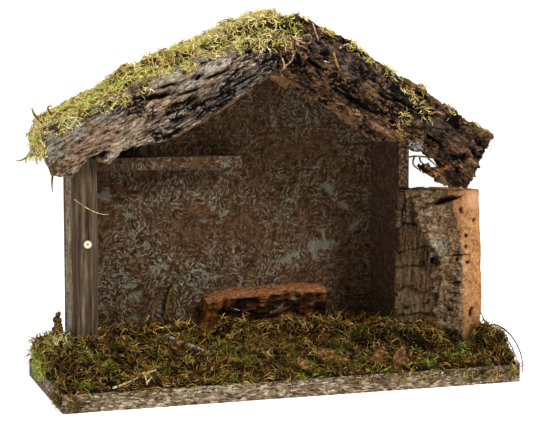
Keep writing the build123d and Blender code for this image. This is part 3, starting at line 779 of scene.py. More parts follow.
# Painted light and shade on the plates, paler low down and darker in the upper-left recess. Each: middle x
# and z, half width and half height, dark and pale colour, cover
painted_light_and_shade_rows = (
    (108, 46, 20, 16, "#2e2114", "#80694c", 0.8), (104, 72, 18, 10, "#251a0f", "#6d573b", 0.6),
    (101, 120, 15, 13, "#0d0703", "#2a1c11", 0.85), (96, 100, 8, 20, "#0f0804", "#33241a", 0.7),
)
for *spot, dark, pale, cover in painted_light_and_shade_rows:
    share = ragged_spot(add, place, (*spot, 0), crumbs, 1.0, 1.1, 1.7, cover)
    tone = add("ValToRGB", streaks, stops=((0.4, dark), (0.6, pale)))
    plates = add("Mix", share, plates, tone, data_type="RGBA")
plates = add("Mix", seams, plates, linear("#150c05"), data_type="RGBA")
body = add("Mix", inside, body, plates, data_type="RGBA")
# Painted shade: the rim's foot is darkened where the moss meets it.
foot = ragged_spot(add, place, (134, 24, 22, 9, 0), crumbs, 1.4, 1.2, 1.8, 0.65)
body = add("Mix", foot, body, linear("#120a05"), data_type="RGBA")
face = add(
    "ValToRGB", mixed,
    stops=((0.4, "#5d3a1f"), (0.47, "#93673f"), (0.56, "#ad7c50"), (0.64, "#c99b6e")),
)
chip = ragged_spot(add, place, (152, 127, 7, 8, 20), crumbs, 1.2, 1.2, 1.6, 0.5)
face = add("Mix", chip, face, linear("#c99a7c"), data_type="RGBA")
body = add("Mix", cut, body, face, data_type="RGBA")
body = add("Mix", holes, body, linear("#120a04"), data_type="RGBA")
show(add, shader, body, grain, 0.8, 0.6)
fit_piece(cork, cork_finish, "virgin_cork", "cork_block")

# %% [markdown]
# ## Bark bench
# A broken piece of red-brown bark lies against the back panel and serves as a bench. Its top
# is a thin slab with a ragged front edge, granular and orange-tan. Below it the front has
# rotted away and is hollow, painted dark partly as the shade in the hollow. The edge is bitten back by a
# noise along its length.

# %% Bench shaping
bench_low, bench_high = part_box("bark_bench")
bench = even_skin("bark_bench", "bench_bark", 0.9 * mm)
tree, add, skin, place, facing = new_shaping("bench_relief")
axes = add("SeparateXYZ", place)
across = add("SeparateXYZ", facing)
top = add("MapRange", across.outputs["Z"], 0.55, 0.85)
layers = grain_pattern(add, place, (15, 8, 7), Detail=5.0, Roughness=0.6, Distortion=0.8)
layer = add("MapRange", layers, 0.25, 0.75, -4.0 * mm, 3.0 * mm)
grains = add("TexNoise", place, Scale=1 / (2.2 * mm), Detail=3.0)
grain = add("MapRange", grains, 0.25, 0.75, -0.7 * mm, 0.5 * mm)
height = add("Mix", top, layer, grain, data_type="FLOAT")
back = add("MapRange", across.outputs["Y"], 0.2, 0.8, 1.0, 0.0)
height = add("Math", height, back, operation="MULTIPLY")
row = add("VectorMath", place, (1 / (19 * mm), 0, 0), operation="MULTIPLY")
bites = add("TexNoise", row, Scale=1.0, Detail=4.0, Roughness=0.6)
bite = add("MapRange", bites, 0.35, 0.66, 0.0, 13 * mm)
slab = add("MapRange", axes.outputs["Z"], bench_high.z - 5 * mm, bench_high.z - 2.5 * mm, 1.0, 0.0)
bite = add("Math", slab, 7 * mm, bite, operation="MULTIPLY_ADD")
front = add("MapRange", axes.outputs["Y"], bench_low.y + 4 * mm, bench_low.y + 24 * mm, 1.0, 0.0)
bite = add("Math", bite, front, operation="MULTIPLY")
left_end = add("MapRange", axes.outputs["X"], bench_low.x, bench_low.x + 22 * mm, 1.0, 0.0)
lean = add("MapRange", axes.outputs["Z"], bench_low.z + 14 * mm, bench_high.z, 0.0, 7 * mm)
lean = add("Math", lean, left_end, operation="MULTIPLY")
drag = add("CombineXYZ", X=lean, Y=bite)
push_out(add, skin, facing, height, drag, top=top, layers=layers, grains=grains, left_end=left_end)
shape(bench, tree)

# %% Bench finish
# Pine bark, broken and half rotted: granular orange-tan on top, red-brown at the end, black below, partly
# painted shade in the hollow.
red_bark, add, shader, place, top, layers, grains, left_end = new_finish(
    "pine_bark_broken", 0.85, "top", "layers", "grains", "left_end",
)
# The hollow front is painted nearly black at its darkest: partly rotted bark, partly painted shade under
# the slab.
hollow_and_shade = add(
    "ValToRGB", layers,
    stops=((0.4, "#0a0402"), (0.52, "#2a1507"), (0.6, "#66391a"), (0.68, "#9a6a38")),
)
broken = add("ValToRGB", layers, stops=((0.35, "#2a1405"), (0.5, "#6b3f16"), (0.66, "#a06c35")))
share = add("MapRange", left_end, 0.35, 0.8)
hollow_and_shade = add("Mix", share, hollow_and_shade, broken, data_type="RGBA")
slab = add("ValToRGB", grains, stops=((0.34, "#573018"), (0.5, "#8a5a36"), (0.66, "#b5835a")))
# Each chip: middle x and z, half length and half height, tilt
for spot in ((34.5, 51, 2.2, 5.5, 20), (22, 43, 10, 1.5, 28)):
    chip = ragged_spot(add, place, spot, grains, 3.0, 1.9, 2.5, 0.8)
    pale = add("ValToRGB", grains, stops=((0.42, "#4f412c"), (0.58, "#ab9c7e")))
    hollow_and_shade = add("Mix", chip, hollow_and_shade, pale, data_type="RGBA")
tone = add("Mix", top, hollow_and_shade, slab, data_type="RGBA")
fine = add("TexNoise", place, Scale=1 / (1.1 * mm), Detail=3.0)
show(add, shader, tone, fine, 0.7, 0.5)
fit_piece(bench, red_bark, "red_bark", "bark_bench")

# %% [markdown]
# ## Branch post
# The post is a straight branch, weathered grey, with fine grain along it and one pruned twig
# whose pale end faces the front. Noise stretched along the height gives the grain.

# %% Post shaping
post = even_skin("left_post", "branch_post", 0.7 * mm)
tree, add, skin, place, facing = new_shaping("post_relief")
grains = grain_pattern(add, place, (2.2, 2.2, 45), Detail=4.0, Roughness=0.65)
grain = add("MapRange", grains, 0.25, 0.75, -0.6 * mm, 0.4 * mm)
swell = add("TexNoise", place, Scale=1 / (40 * mm), Detail=1.0)
swell = add("MapRange", swell, 0.25, 0.75, -0.7 * mm, 0.5 * mm)
height = add("Math", grain, swell, operation="ADD")
push_out(add, skin, facing, height, grains=grains)
shape(post, tree)

# %% Post finish
# Hazel branch, barkless and weathered: silver-grey, finely lined, with a pale pruned stub.
branch, add, shader, place, grains = new_finish("hazel_branch_weathered", 0.85, "grains")
tone = add(
    "ValToRGB", grains,
    stops=((0.34, "#1e150e"), (0.45, "#413427"), (0.55, "#594937"), (0.68, "#7f6d55")),
)
patch = add("TexNoise", place, Scale=1 / (18 * mm), Detail=3.0)
patch = add("MapRange", patch, 0.4, 0.65, 0.0, 0.55)
tone = add("Mix", patch, tone, linear("#44372b"), data_type="RGBA")
stub_spot = (-136.5 * mm, -12.8 * mm, 103 * mm)
gap = add("VectorMath", place, stub_spot, operation="DISTANCE")
stub = add("MapRange", gap, 2.6 * mm, 3.4 * mm, 1.0, 0.0)
rings = add("MapRange", gap, 0.0, 3 * mm)
stub_tone = add(
    "ValToRGB", rings,
    stops=((0.15, "#5a4630"), (0.3, "#d3c7a4"), (0.7, "#e0d6b8"), (1.0, "#9c8a68")),
)
tone = add("Mix", stub, tone, stub_tone, data_type="RGBA")
show(add, shader, tone)
fit_piece(post, branch, "weathered_branch", "left_post")

# %% [markdown]
# ## Moss strands
# Dried moss is a tangle of thin curved stems, some bare, some set with tiny leaves like a
# feather. A few strands are modelled once, each with only a few dozen faces because there
# will be thousands: a thin three-sided cone is cut across, some get leaflets, and a Simple
# Deform modifier bends it. How far along a strand a point lies is kept as an attribute, so
# that its foot can be painted darker, as painted shade deep in the moss.

# %% Model the strands
moss_kinds = bpy.data.collections.new("moss_kinds")
bpy.context.scene.collection.children.link(moss_kinds)
leaflet_size, leaflet_lean = 0.22, 53


def moss_strand(name, length, thickness, curl, cuts, leaflets):
    """One strand that stands on the origin: a bent thin stem, with leaflets along it."""
    bpy.ops.object.select_all(action="DESELECT")
    bpy.ops.mesh.primitive_cone_add(
        vertices=3, radius1=thickness / 2, radius2=thickness / 5, depth=length, location=(0, 0, length / 2),
    )
    stem = bpy.context.object
    bpy.ops.object.transform_apply(location=True)
    bpy.ops.object.mode_set(mode="EDIT")
    for cut in range(cuts):
        bpy.ops.mesh.select_all(action="SELECT")
        bpy.ops.mesh.bisect(plane_co=(0, 0, length * (cut + 1) / (cuts + 1)), plane_no=(0, 0, 1))
    bpy.ops.object.mode_set(mode="OBJECT")
    strand_parts = [stem]
    for number in range(leaflets):
        share = (number + 1) / (leaflets + 0.5)
        side = 1 if number % 2 else -1
        size = leaflet_size * length * (1.15 - 0.6 * share)
        bpy.ops.mesh.primitive_cone_add(
            vertices=3, radius1=0.4 * thickness, depth=size,
            location=(side * 0.4 * size, 0, share * length + 0.3 * size),
            rotation=(0, side * math.radians(leaflet_lean), 0),
        )
        strand_parts.append(bpy.context.object)
    for part in strand_parts:
        part.select_set(True)
    bpy.context.view_layer.objects.active = stem
    bpy.ops.object.transform_apply(location=True, rotation=True)
    if leaflets:
        bpy.ops.object.join()
    shares = stem.data.attributes.new("along", "FLOAT", "POINT")
    shares.data.foreach_set("value", [max(0.0, vertex.co.z / length) for vertex in stem.data.vertices])
    bend = stem.modifiers.new("curl", "SIMPLE_DEFORM")
    bend.deform_method = "BEND"
    bend.deform_axis = "X"
    bend.angle = math.radians(curl)
    bpy.ops.object.modifier_apply(modifier=bend.name)
    stem.name = name
    for owner in list(stem.users_collection):
        owner.objects.unlink(stem)
    moss_kinds.objects.link(stem)
    return stem


# Each strand: name, length and thickness in millimetres, curl in degrees, cuts and leaflets
strand_rows = (
    ("strand_arch", 9, 0.9, 90, 2, 0),
    ("strand_curl", 11, 0.8, 130, 3, 0),
    ("strand_wave", 6, 1.0, -70, 2, 0),
    ("strand_straw", 11, 0.7, 35, 1, 0),
    ("strand_frond", 9, 0.8, 60, 1, 5),
    ("strand_flake", 4.5, 1.5, 40, 1, 0),
)
for name, length, thickness, curl, cuts, leaflets in strand_rows:
    made = moss_strand(name, length * mm, thickness * mm, curl, cuts, leaflets)
    print(name, len(made.data.polygons), "faces")

# %% [markdown]
# ## Growing moss
# Each moss pad becomes a lumpy dark mat, and strands are scattered over it, laid flat and
# turned at random from a fixed seed. A hair system could do the same, but real geometry is
# part of the mesh itself. Every strand carries a random tint for the finish to read.

# %% Moss growing
def grow_moss(name, mat_finish, strand_finish, density, lay, lump, seed, where=None):
    """A tree that turns a skin into a lumpy mat with strands on it.

    The lay is the range of a strand's tilt, of its spin and of its size.
    """
    tilts, spins, sizes = lay
    tree, add, skin, place, facing = new_shaping(name)
    across = add("SeparateXYZ", facing)
    lumps = add("TexNoise", place, Scale=1 / (12 * mm), Detail=3.0)
    rise = add("MapRange", lumps, 0.3, 0.7, -lump * mm, 0.5 * lump * mm)
    upper = add("MapRange", across.outputs["Z"], -0.2, 0.3)
    rise = add("Math", rise, upper, operation="MULTIPLY")
    mat = add("SetPosition", skin, Offset=add("VectorMath", facing, rise, operation="SCALE"))
    grows = add("Math", across.outputs["Z"], -0.1, operation="GREATER_THAN")
    if where:
        ahead = add("Math", across.outputs["Y"], 0.4, operation="LESS_THAN")
        grows = add("Math", ahead, grows, operation="MULTIPLY")
        grows = add("Math", where(add, place), grows, operation="MULTIPLY")
    gaps = add("TexNoise", place, Scale=1 / (6 * mm), Detail=2.0)
    gaps = add("MapRange", gaps, 0.38, 0.52, 0.2 * density / mm / mm, 1.2 * density / mm / mm)
    depth = add("SeparateXYZ", place).outputs["Y"]
    depth = add("MapRange", depth, 0.0, 40 * mm, 1.0, 0.6)
    gaps = add("Math", gaps, depth, operation="MULTIPLY")
    spots = add("DistributePointsOnFaces", Mesh=mat, Selection=grows, Density=gaps, Seed=seed)
    lift = add("RandomValue", Min=-1.0 * mm, Max=2.2 * mm, Seed=seed + 1)
    lift = add("VectorMath", spots.outputs["Normal"], lift, operation="SCALE")
    raised = add("SetPosition", spots, Offset=lift)
    # Neighbours lie much the same way, so the strands make locks
    locks = add("TexNoise", place, Scale=1 / (9 * mm), Detail=1.0)
    swing = add("RandomValue", Min=-0.9, Max=0.9, Seed=seed + 5)
    swing = add("Math", locks, 8 * math.pi, swing, operation="MULTIPLY_ADD")
    tilt = add("RandomValue", Min=tilts[0], Max=tilts[1], Seed=seed + 2)
    heading = add("CombineXYZ", X=tilt, Z=swing)
    turned = add("RotateRotation", spots.outputs["Rotation"], heading, rotation_space="LOCAL")
    spin = add(
        "RandomValue", Min=(0.0, 0.0, spins[0]), Max=(0.0, 0.0, spins[1]), Seed=seed + 6,
        data_type="FLOAT_VECTOR",
    )
    turned = add("RotateRotation", turned, spin, rotation_space="LOCAL")
    size = add("RandomValue", Min=sizes[0], Max=sizes[1], Seed=seed + 3)
    kinds = add("CollectionInfo", Collection=moss_kinds, Separate_Children=True, Reset_Children=True)
    grown = add(
        "InstanceOnPoints", Points=raised, Instance=kinds, Pick_Instance=True, Rotation=turned,
        Scale=size,
    )
    tint = add("RandomValue", Seed=seed + 4)
    grown = add("StoreNamedAttribute", grown, Name="tint", Value=tint, data_type="FLOAT", domain="INSTANCE")
    strands = add("RealizeInstances", grown)
    # No strand hangs lower than the table
    above = add("VectorMath", place, (-1.0, -1.0, 0.4 * mm), operation="MAXIMUM")
    strands = add("SetPosition", strands, Position=above)
    strands = add("SetMaterial", strands, Material=strand_finish)
    if mat_finish:
        joined = add("JoinGeometry", add("SetMaterial", mat, Material=mat_finish))
        tree.links.new(strands.outputs[0], joined.inputs["Geometry"])
        strands = joined
    add("GroupOutput", strands)
    return tree


# %% [markdown]
# ## Moss finishes
# The moss on the ground is old and mostly brown, with olive, straw and a few green stems. On
# the roof it is fresher: yellow-green and tan. A random tint picks a strand's colour, and
# broad noise makes whole patches greener or browner.

# %% Moss finishes
def moss_finish(name, colours, green, green_from, spots, hollow_and_shade, back_painted_light):
    """Moss, dried: strands in a few colours, greener in patches, with painted shade at the foot and in
    hollows and painted light towards the back.
    """
    finish, add, shader, place, tint, along = new_finish(name, 0.8, "tint", "along")
    steps = [(number / (len(colours) - 1), colour) for number, colour in enumerate(colours)]
    tone = add("ValToRGB", tint, stops=steps)
    patch = add("TexNoise", place, Scale=1 / (20 * mm), Detail=3.0)
    patch = add("Math", tint, 0.16, patch, operation="MULTIPLY_ADD")
    patch = add("MapRange", patch, green_from, green_from + 0.1, 0.0, 0.85)
    for x, y, z, reach in spots:
        near = add("VectorMath", place, Vector((x, y, z)) * mm, operation="DISTANCE")
        near = add("Math", tint, 0.6 * reach * mm, near, operation="MULTIPLY_ADD")
        near = add("MapRange", near, 0.9 * reach * mm, 1.3 * reach * mm, 0.9, 0.0)
        patch = add("Math", near, patch, operation="MAXIMUM")
    fresh = add("ValToRGB", tint, stops=((0.0, green[0]), (0.5, green[1]), (1.0, green[2])))
    tone = add("Mix", patch, tone, fresh, data_type="RGBA")
    # Painted shade: each strand is darker at its foot, deep in the moss.
    root = add("MapRange", along, 0.0, 0.5, 0.5, 1.0)
    # Painted shade in the hollows and painted light on the tops of the moss, by a broad noise.
    hollow_shade_noise = add("TexNoise", place, Scale=1 / (9 * mm), Detail=2.0)
    hollow_shade_noise = add("MapRange", hollow_shade_noise, 0.36, 0.6, hollow_and_shade, 1.35)
    root = add("Math", root, hollow_shade_noise, operation="MULTIPLY")
    # Painted light: strands further back, inside the stall, are painted brighter.
    depth = add("SeparateXYZ", place).outputs["Y"]
    depth = add("MapRange", depth, 0.0, 45 * mm, 1.0, back_painted_light)
    root = add("Math", root, depth, operation="MULTIPLY")
    show(add, shader, add("VectorMath", tone, root, operation="SCALE"))
    return finish


def mat_finish(name, dark, light):
    """Moss and litter pressed together: matt and uneven, painted dark partly as the shade deep between the
    strands.
    """
    finish, add, shader, place = new_finish(name, 0.95)
    clumps = add("TexNoise", place, Scale=1 / (3 * mm), Detail=5.0, Roughness=0.7)
    tone = add("ValToRGB", clumps, stops=((0.38, dark), (0.66, light)))
    show(add, shader, tone, clumps, 1.0, 1.5)
    return finish


# %% Mix the moss colours
# Each green spot on the ground: its middle and its reach, in millimetres
green_spots = (
    (-164, 18, 16, 13), (-152, 24, 24, 9), (-138, -22, 22, 12), (0, 34, 24, 13), (-94, -46, 16, 9),
    (48, -16, 22, 9), (96, -58, 16, 10), (152, -24, 18, 10), (158, 8, 26, 9), (30, 44, 26, 10),
)
floor_strands = moss_finish(
    "moss_dried_brown", ("#190c02", "#46290a", "#704815", "#5f4a0e", "#94702a", "#cbad68", "#3f2607"),
    ("#3a4210", "#6a7420", "#a5a444"), 0.63, green_spots, 0.28, 2.2,
)
floor_mat = mat_finish("moss_litter_dark", "#0c0601", "#221604")
roof_strands = moss_finish(
    "moss_dried_golden", ("#4a380f", "#b0963c", "#decb68", "#f2e48c", "#fbf3c8", "#cca65c", "#6b5419"),
    ("#84981f", "#b8c244", "#e0e07c"), 0.62, (), 0.95, 1.0,
)
fresh_strands = moss_finish(
    "moss_fresh_green", ("#6b7a1c", "#a9bd3c", "#d3e07a", "#9a9c36", "#e6eba8", "#5d6416"),
    ("#7f9420", "#b4c344", "#dbe084"), 0.5, (), 0.9, 1.0,
)
roof_mat = mat_finish("moss_litter_olive", "#1a1204", "#4a3c12")

# %% Grow the moss beds
# Each lay: a strand's tilt and spin in radians and its size, each from the least to the most
ground_lay = ((1.25, 1.78), (0.7, 2.4), (0.5, 1.05))
roof_lay = ((1.42, 1.7), (0.9, 2.2), (0.5, 0.9))
ground_kind = ("floor_moss", floor_mat, floor_strands, ground_lay)
roof_kind = ("roof_moss", roof_mat, roof_strands, roof_lay)
# Each bed: its CAD node, its kind, strands for each square millimetre, height of lumps and seed
bed_rows = (
    ("front_moss", ground_kind, 0.39, 6.0, 11), ("stall_moss", ground_kind, 0.46, 6.0, 21),
    ("left_bench_moss", ground_kind, 0.46, 6.0, 31), ("right_bench_moss", ground_kind, 0.46, 6.0, 41),
    ("left_side_moss", ground_kind, 0.46, 6.0, 51), ("right_side_moss", ground_kind, 0.46, 6.0, 61),
    ("left_roof_moss", roof_kind, 0.55, 3.0, 71), ("right_roof_moss", roof_kind, 0.45, 6.0, 81),
)
for node, (slot, mat, strands, lay), density, lump, seed in bed_rows:
    bed = even_skin(node, node + "_bed", 2.0 * mm)
    shape(bed, grow_moss(node + "_growth", mat, strands, density, lay, lump, seed))
    fit_piece(bed, None, slot, node)

# %% [markdown]
# ## Moss on the bark
# Moss also hangs over the slabs' upper edges and sits in a few places on their fronts. A line
# along the slope and a noise choose the first, and single spots the second. The spots are
# given as pixels of the photograph: a ray from the camera finds the skin that shows there.

# %% Places on the bark
photo_height = 426
search_rows = 10
bpy.context.view_layer.update()
carriers = [left_bark, right_bark, cork, bench, post]
carriers += [piece for piece in bpy.context.scene.objects if piece.name.endswith("_bed")]


def seen_at(column, row):
    """The nearest point of any carrier that shows at a pixel of the photograph, or just below it."""
    for lower in range(search_rows):
        ray = Vector((column - photo_width / 2, photo_height / 2 - row - lower, -focal_length_pixels))
        ray = (camera.matrix_world.to_3x3() @ ray).normalized()
        hits = [piece.ray_cast(camera.location, ray) for piece in carriers]
        spots = [spot for found, spot, facing, face in hits if found]
        if spots:
            return min(spots, key=lambda spot: (spot - camera.location).length)
    raise ValueError((column, row))


def top_edge(slope, rise, cover):
    """Above a line along a slope, in patches."""
    ridge = Vector((-4, 0, 245)) * mm
    low = ridge.z * math.cos(slope) - ridge.x * math.sin(slope) + rise * mm

    def where(add, place):
        along = add("VectorRotate", place, Angle=slope, rotation_type="Y_AXIS")
        along = add("SeparateXYZ", along)
        high = add("Math", along.outputs["Z"], low, operation="GREATER_THAN")
        patches = add("TexNoise", place, Scale=1 / (12 * mm), Detail=2.0)
        patches = add("Math", patches, cover, operation="GREATER_THAN")
        return add("Math", high, patches, operation="MULTIPLY")

    return where


def near_pixels(rows):
    """Round single spots, each given by its pixel and its reach in millimetres."""
    def where(add, place):
        grows = 0.0
        for column, row, reach in rows:
            spot = seen_at(column, row) / mm
            near = spot_distance(add, place, spot.x, spot.z, reach, reach, 0)
            near = add("Math", near, 1.0, operation="LESS_THAN")
            grows = add("Math", near, grows, operation="MAXIMUM")
        return grows

    return where


# %% Tufts on the bark
# Each tuft: column and row of its pixel, and its reach in millimetres
ridge_pixels = ((282, 26, 8), (288, 38, 7), (284, 48, 6), (294, 30, 6), (331, 30, 4))
front_pixels = (
    (367, 52, 5), (372, 58, 4), (389, 68, 5), (392, 74, 4), (410, 96, 5), (402, 118, 5),
    (398, 128, 4), (416, 106, 4), (424, 114, 4),
)
upper_pixels = ((226, 50, 5), (238, 47, 5), (250, 44, 6), (260, 41, 7), (269, 39, 7))
bark_lay = ((1.3, 1.8), (0.7, 2.4), (0.4, 0.75))
# Each set of tufts: what carries it, name, where it grows, strands for each square millimetre, seed
tuft_rows = (
    (left_bark, "left_bark_tufts", top_edge(left_slope, 7.5, 0.47), 0.6, 91),
    (right_bark, "right_bark_tufts", top_edge(-right_slope, 20.0, 0.54), 0.5, 101),
    (right_bark, "ridge_tufts", near_pixels(ridge_pixels), 0.5, 105),
    (right_bark, "front_tufts", near_pixels(front_pixels), 0.35, 107),
    (left_bark, "upper_tufts", near_pixels(upper_pixels), 0.5, 109),
)
for source, name, where, density, seed in tuft_rows:
    tufts = bpy.data.objects.new(name, source.data.copy())
    bpy.context.scene.collection.objects.link(tufts)
    shape(tufts, grow_moss(name + "_growth", None, roof_strands, density, bark_lay, 0.0, seed, where))
    fit_piece(tufts, None, "roof_moss")

# %% [markdown]
# ## Litter in the moss
# A grey twig, a scaly stem and a dry leaf lie in the moss. They are skins of their solids
# again: the twig gets lumps, the stem gets rows of scales, whose upper ends stand out, and
# the leaf is cupped and waved, as leaves are when they dry.

# %% Litter helpers
def litter_finish(name, colours, size):
    """Dry plant matter: matt, streaked in three tones."""
    finish, add, shader, place = new_finish(name, 0.85)
    streaks = add("TexNoise", place, Scale=1 / (size * mm), Detail=4.0)
    tone = add("ValToRGB", streaks, stops=list(zip((0.36, 0.5, 0.64), colours)))
    show(add, shader, tone, streaks, 0.6, 0.4)
    return finish


def litter_shaping(name, lump_size, lump_depth, scale_height, cup_height, middle):
    """Lumps all over a skin, scales that stand out upwards, and a cup round its middle."""
    tree, add, skin, place, facing = new_shaping(name)
    lumps = add("TexNoise", place, Scale=1 / lump_size, Detail=3.0)
    height = add("MapRange", lumps, 0.25, 0.75, -lump_depth, lump_depth)
    cells = add("TexVoronoi", place, Scale=1 / (3.4 * mm))
    near = add("VectorMath", place, cells.outputs["Position"], operation="SUBTRACT")
    near = add("SeparateXYZ", near)
    scale = add("MapRange", near.outputs["Z"], -1.8 * mm, 1.8 * mm, 0.0, scale_height)
    height = add("Math", height, scale, operation="ADD")
    away = add("VectorMath", place, middle, operation="DISTANCE")
    cup_reach = 12 * mm
    cup = add("Math", away, 2.0, operation="POWER")
    cup = add("Math", cup, cup_height / cup_reach ** 2, operation="MULTIPLY")
    wave = add("TexNoise", place, Scale=1 / (7 * mm), Detail=1.0)
    wave = add("Math", wave, 0.5, operation="SUBTRACT")
    cup = add("Math", wave, 2 * cup_height, cup, operation="MULTIPLY_ADD")
    push_out(add, skin, facing, height, add("CombineXYZ", Z=cup))
    return tree


# %% Twig, stem and leaf
# Each: node, slot, its lengths in millimetres, colours, streak size. The lengths are the skin's
# square, a lump's size and depth, and the height of the scales and of the cup.
litter_rows = (
    ("grey_twig", "grey_wood", (0.5, 5.0, 0.6, 0.0, 0.0), ("#453f37", "#7f7a6e", "#b1ab9c"), 2.0),
    ("moss_stem", "brown_stem", (0.5, 4.0, 0.5, 1.8, 0.0), ("#211306", "#4d3115", "#86602f"), 1.6),
    ("dry_leaf", "dry_leaf", (0.4, 6.0, 0.1, 0.0, 4.0), ("#33200f", "#614022", "#93703f"), 3.0),
)
for node, slot, lengths, colours, size in litter_rows:
    low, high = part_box(node)
    square, *heights = (length * mm for length in lengths)
    piece = even_skin(node, node + "_litter", square)
    shape(piece, litter_shaping(node + "_relief", *heights, (low + high) / 2))
    fit_piece(piece, litter_finish(node + "_dried", colours, size), slot, node)

# %% Fallen leaves
# Leaves of the same kind lean in the moss further right and left: smaller, turned copies.
# Each: name, pixel of the photograph, size, turn on the table, lean
leaf_rows = (
    ("fallen_leaf", (402, 364), 1.0, 25, (34, 16)),
    ("bench_leaf", (326, 356), 0.75, 110, (48, -12)),
    ("front_leaf", (303, 366), 0.5, 40, (22, -14)),
    ("twig_leaf", (176, 347), 0.5, 5, (40, 0)),
)
for name, pixel, size, turn, lean in leaf_rows:
    leaf = bpy.data.objects.new(name, bpy.data.objects["dry_leaf_litter"].data.copy())
    bpy.context.scene.collection.objects.link(leaf)
    use_only(leaf)
    bpy.ops.object.origin_set(type="ORIGIN_GEOMETRY", center="BOUNDS")
    leaf.scale = (size, size, size)
    leaf.rotation_euler = (0, 0, math.radians(turn))
    bpy.ops.object.transform_apply(location=False, rotation=True, scale=True)
    leaf.rotation_euler = (math.radians(lean[0]), math.radians(lean[1]), 0)
    leaf.location = seen_at(*pixel) + Vector((0, 0, 2)) * mm
    bpy.ops.object.transform_apply(location=True, rotation=True, scale=True)
    fit_piece(leaf, None, "dry_leaf")
print(len(leaf_rows), "fallen leaves")

# %% [markdown]
# ## Roots, straws and stray stems
# Thin roots curl over the bark at the ridge, straws lie on the moss and a few stray stems
# stick out. Each is a path with a round bevel that thins towards its tip, turned into a mesh.
# Those that lie on something are placed by where they show in the photograph: a ray from the
# camera finds the skin there, and the path keeps to it. Free ends are given in millimetres.

# %% Stems
def stem(points, thickness, taper, lift=0.0):
    """A round stem through five points, each a pixel of the photograph or a place in millimetres.

    A lift puts a stem that lies on moss on top of the strands.
    """
    bpy.ops.object.select_all(action="DESELECT")
    bpy.ops.curve.primitive_nurbs_path_add()
    path = bpy.context.object
    spline = path.data.splines[0]
    for number, (point, spot) in enumerate(zip(spline.points, points)):
        if len(spot) == 2:
            spot = seen_at(*spot)
            spot += (camera.location - spot).normalized() * (thickness * 0.6 + lift) * mm
        else:
            spot = Vector(spot) * mm
        point.co = (*spot, 1.0)
        point.radius = 1 - taper * number / 4
    spline.use_endpoint_u = True
    path.data.resolution_u = 4
    path.data.bevel_depth = thickness / 2 * mm
    path.data.bevel_resolution = 1
    path.data.use_fill_caps = True
    bpy.ops.object.convert(target="MESH")
    return bpy.context.object


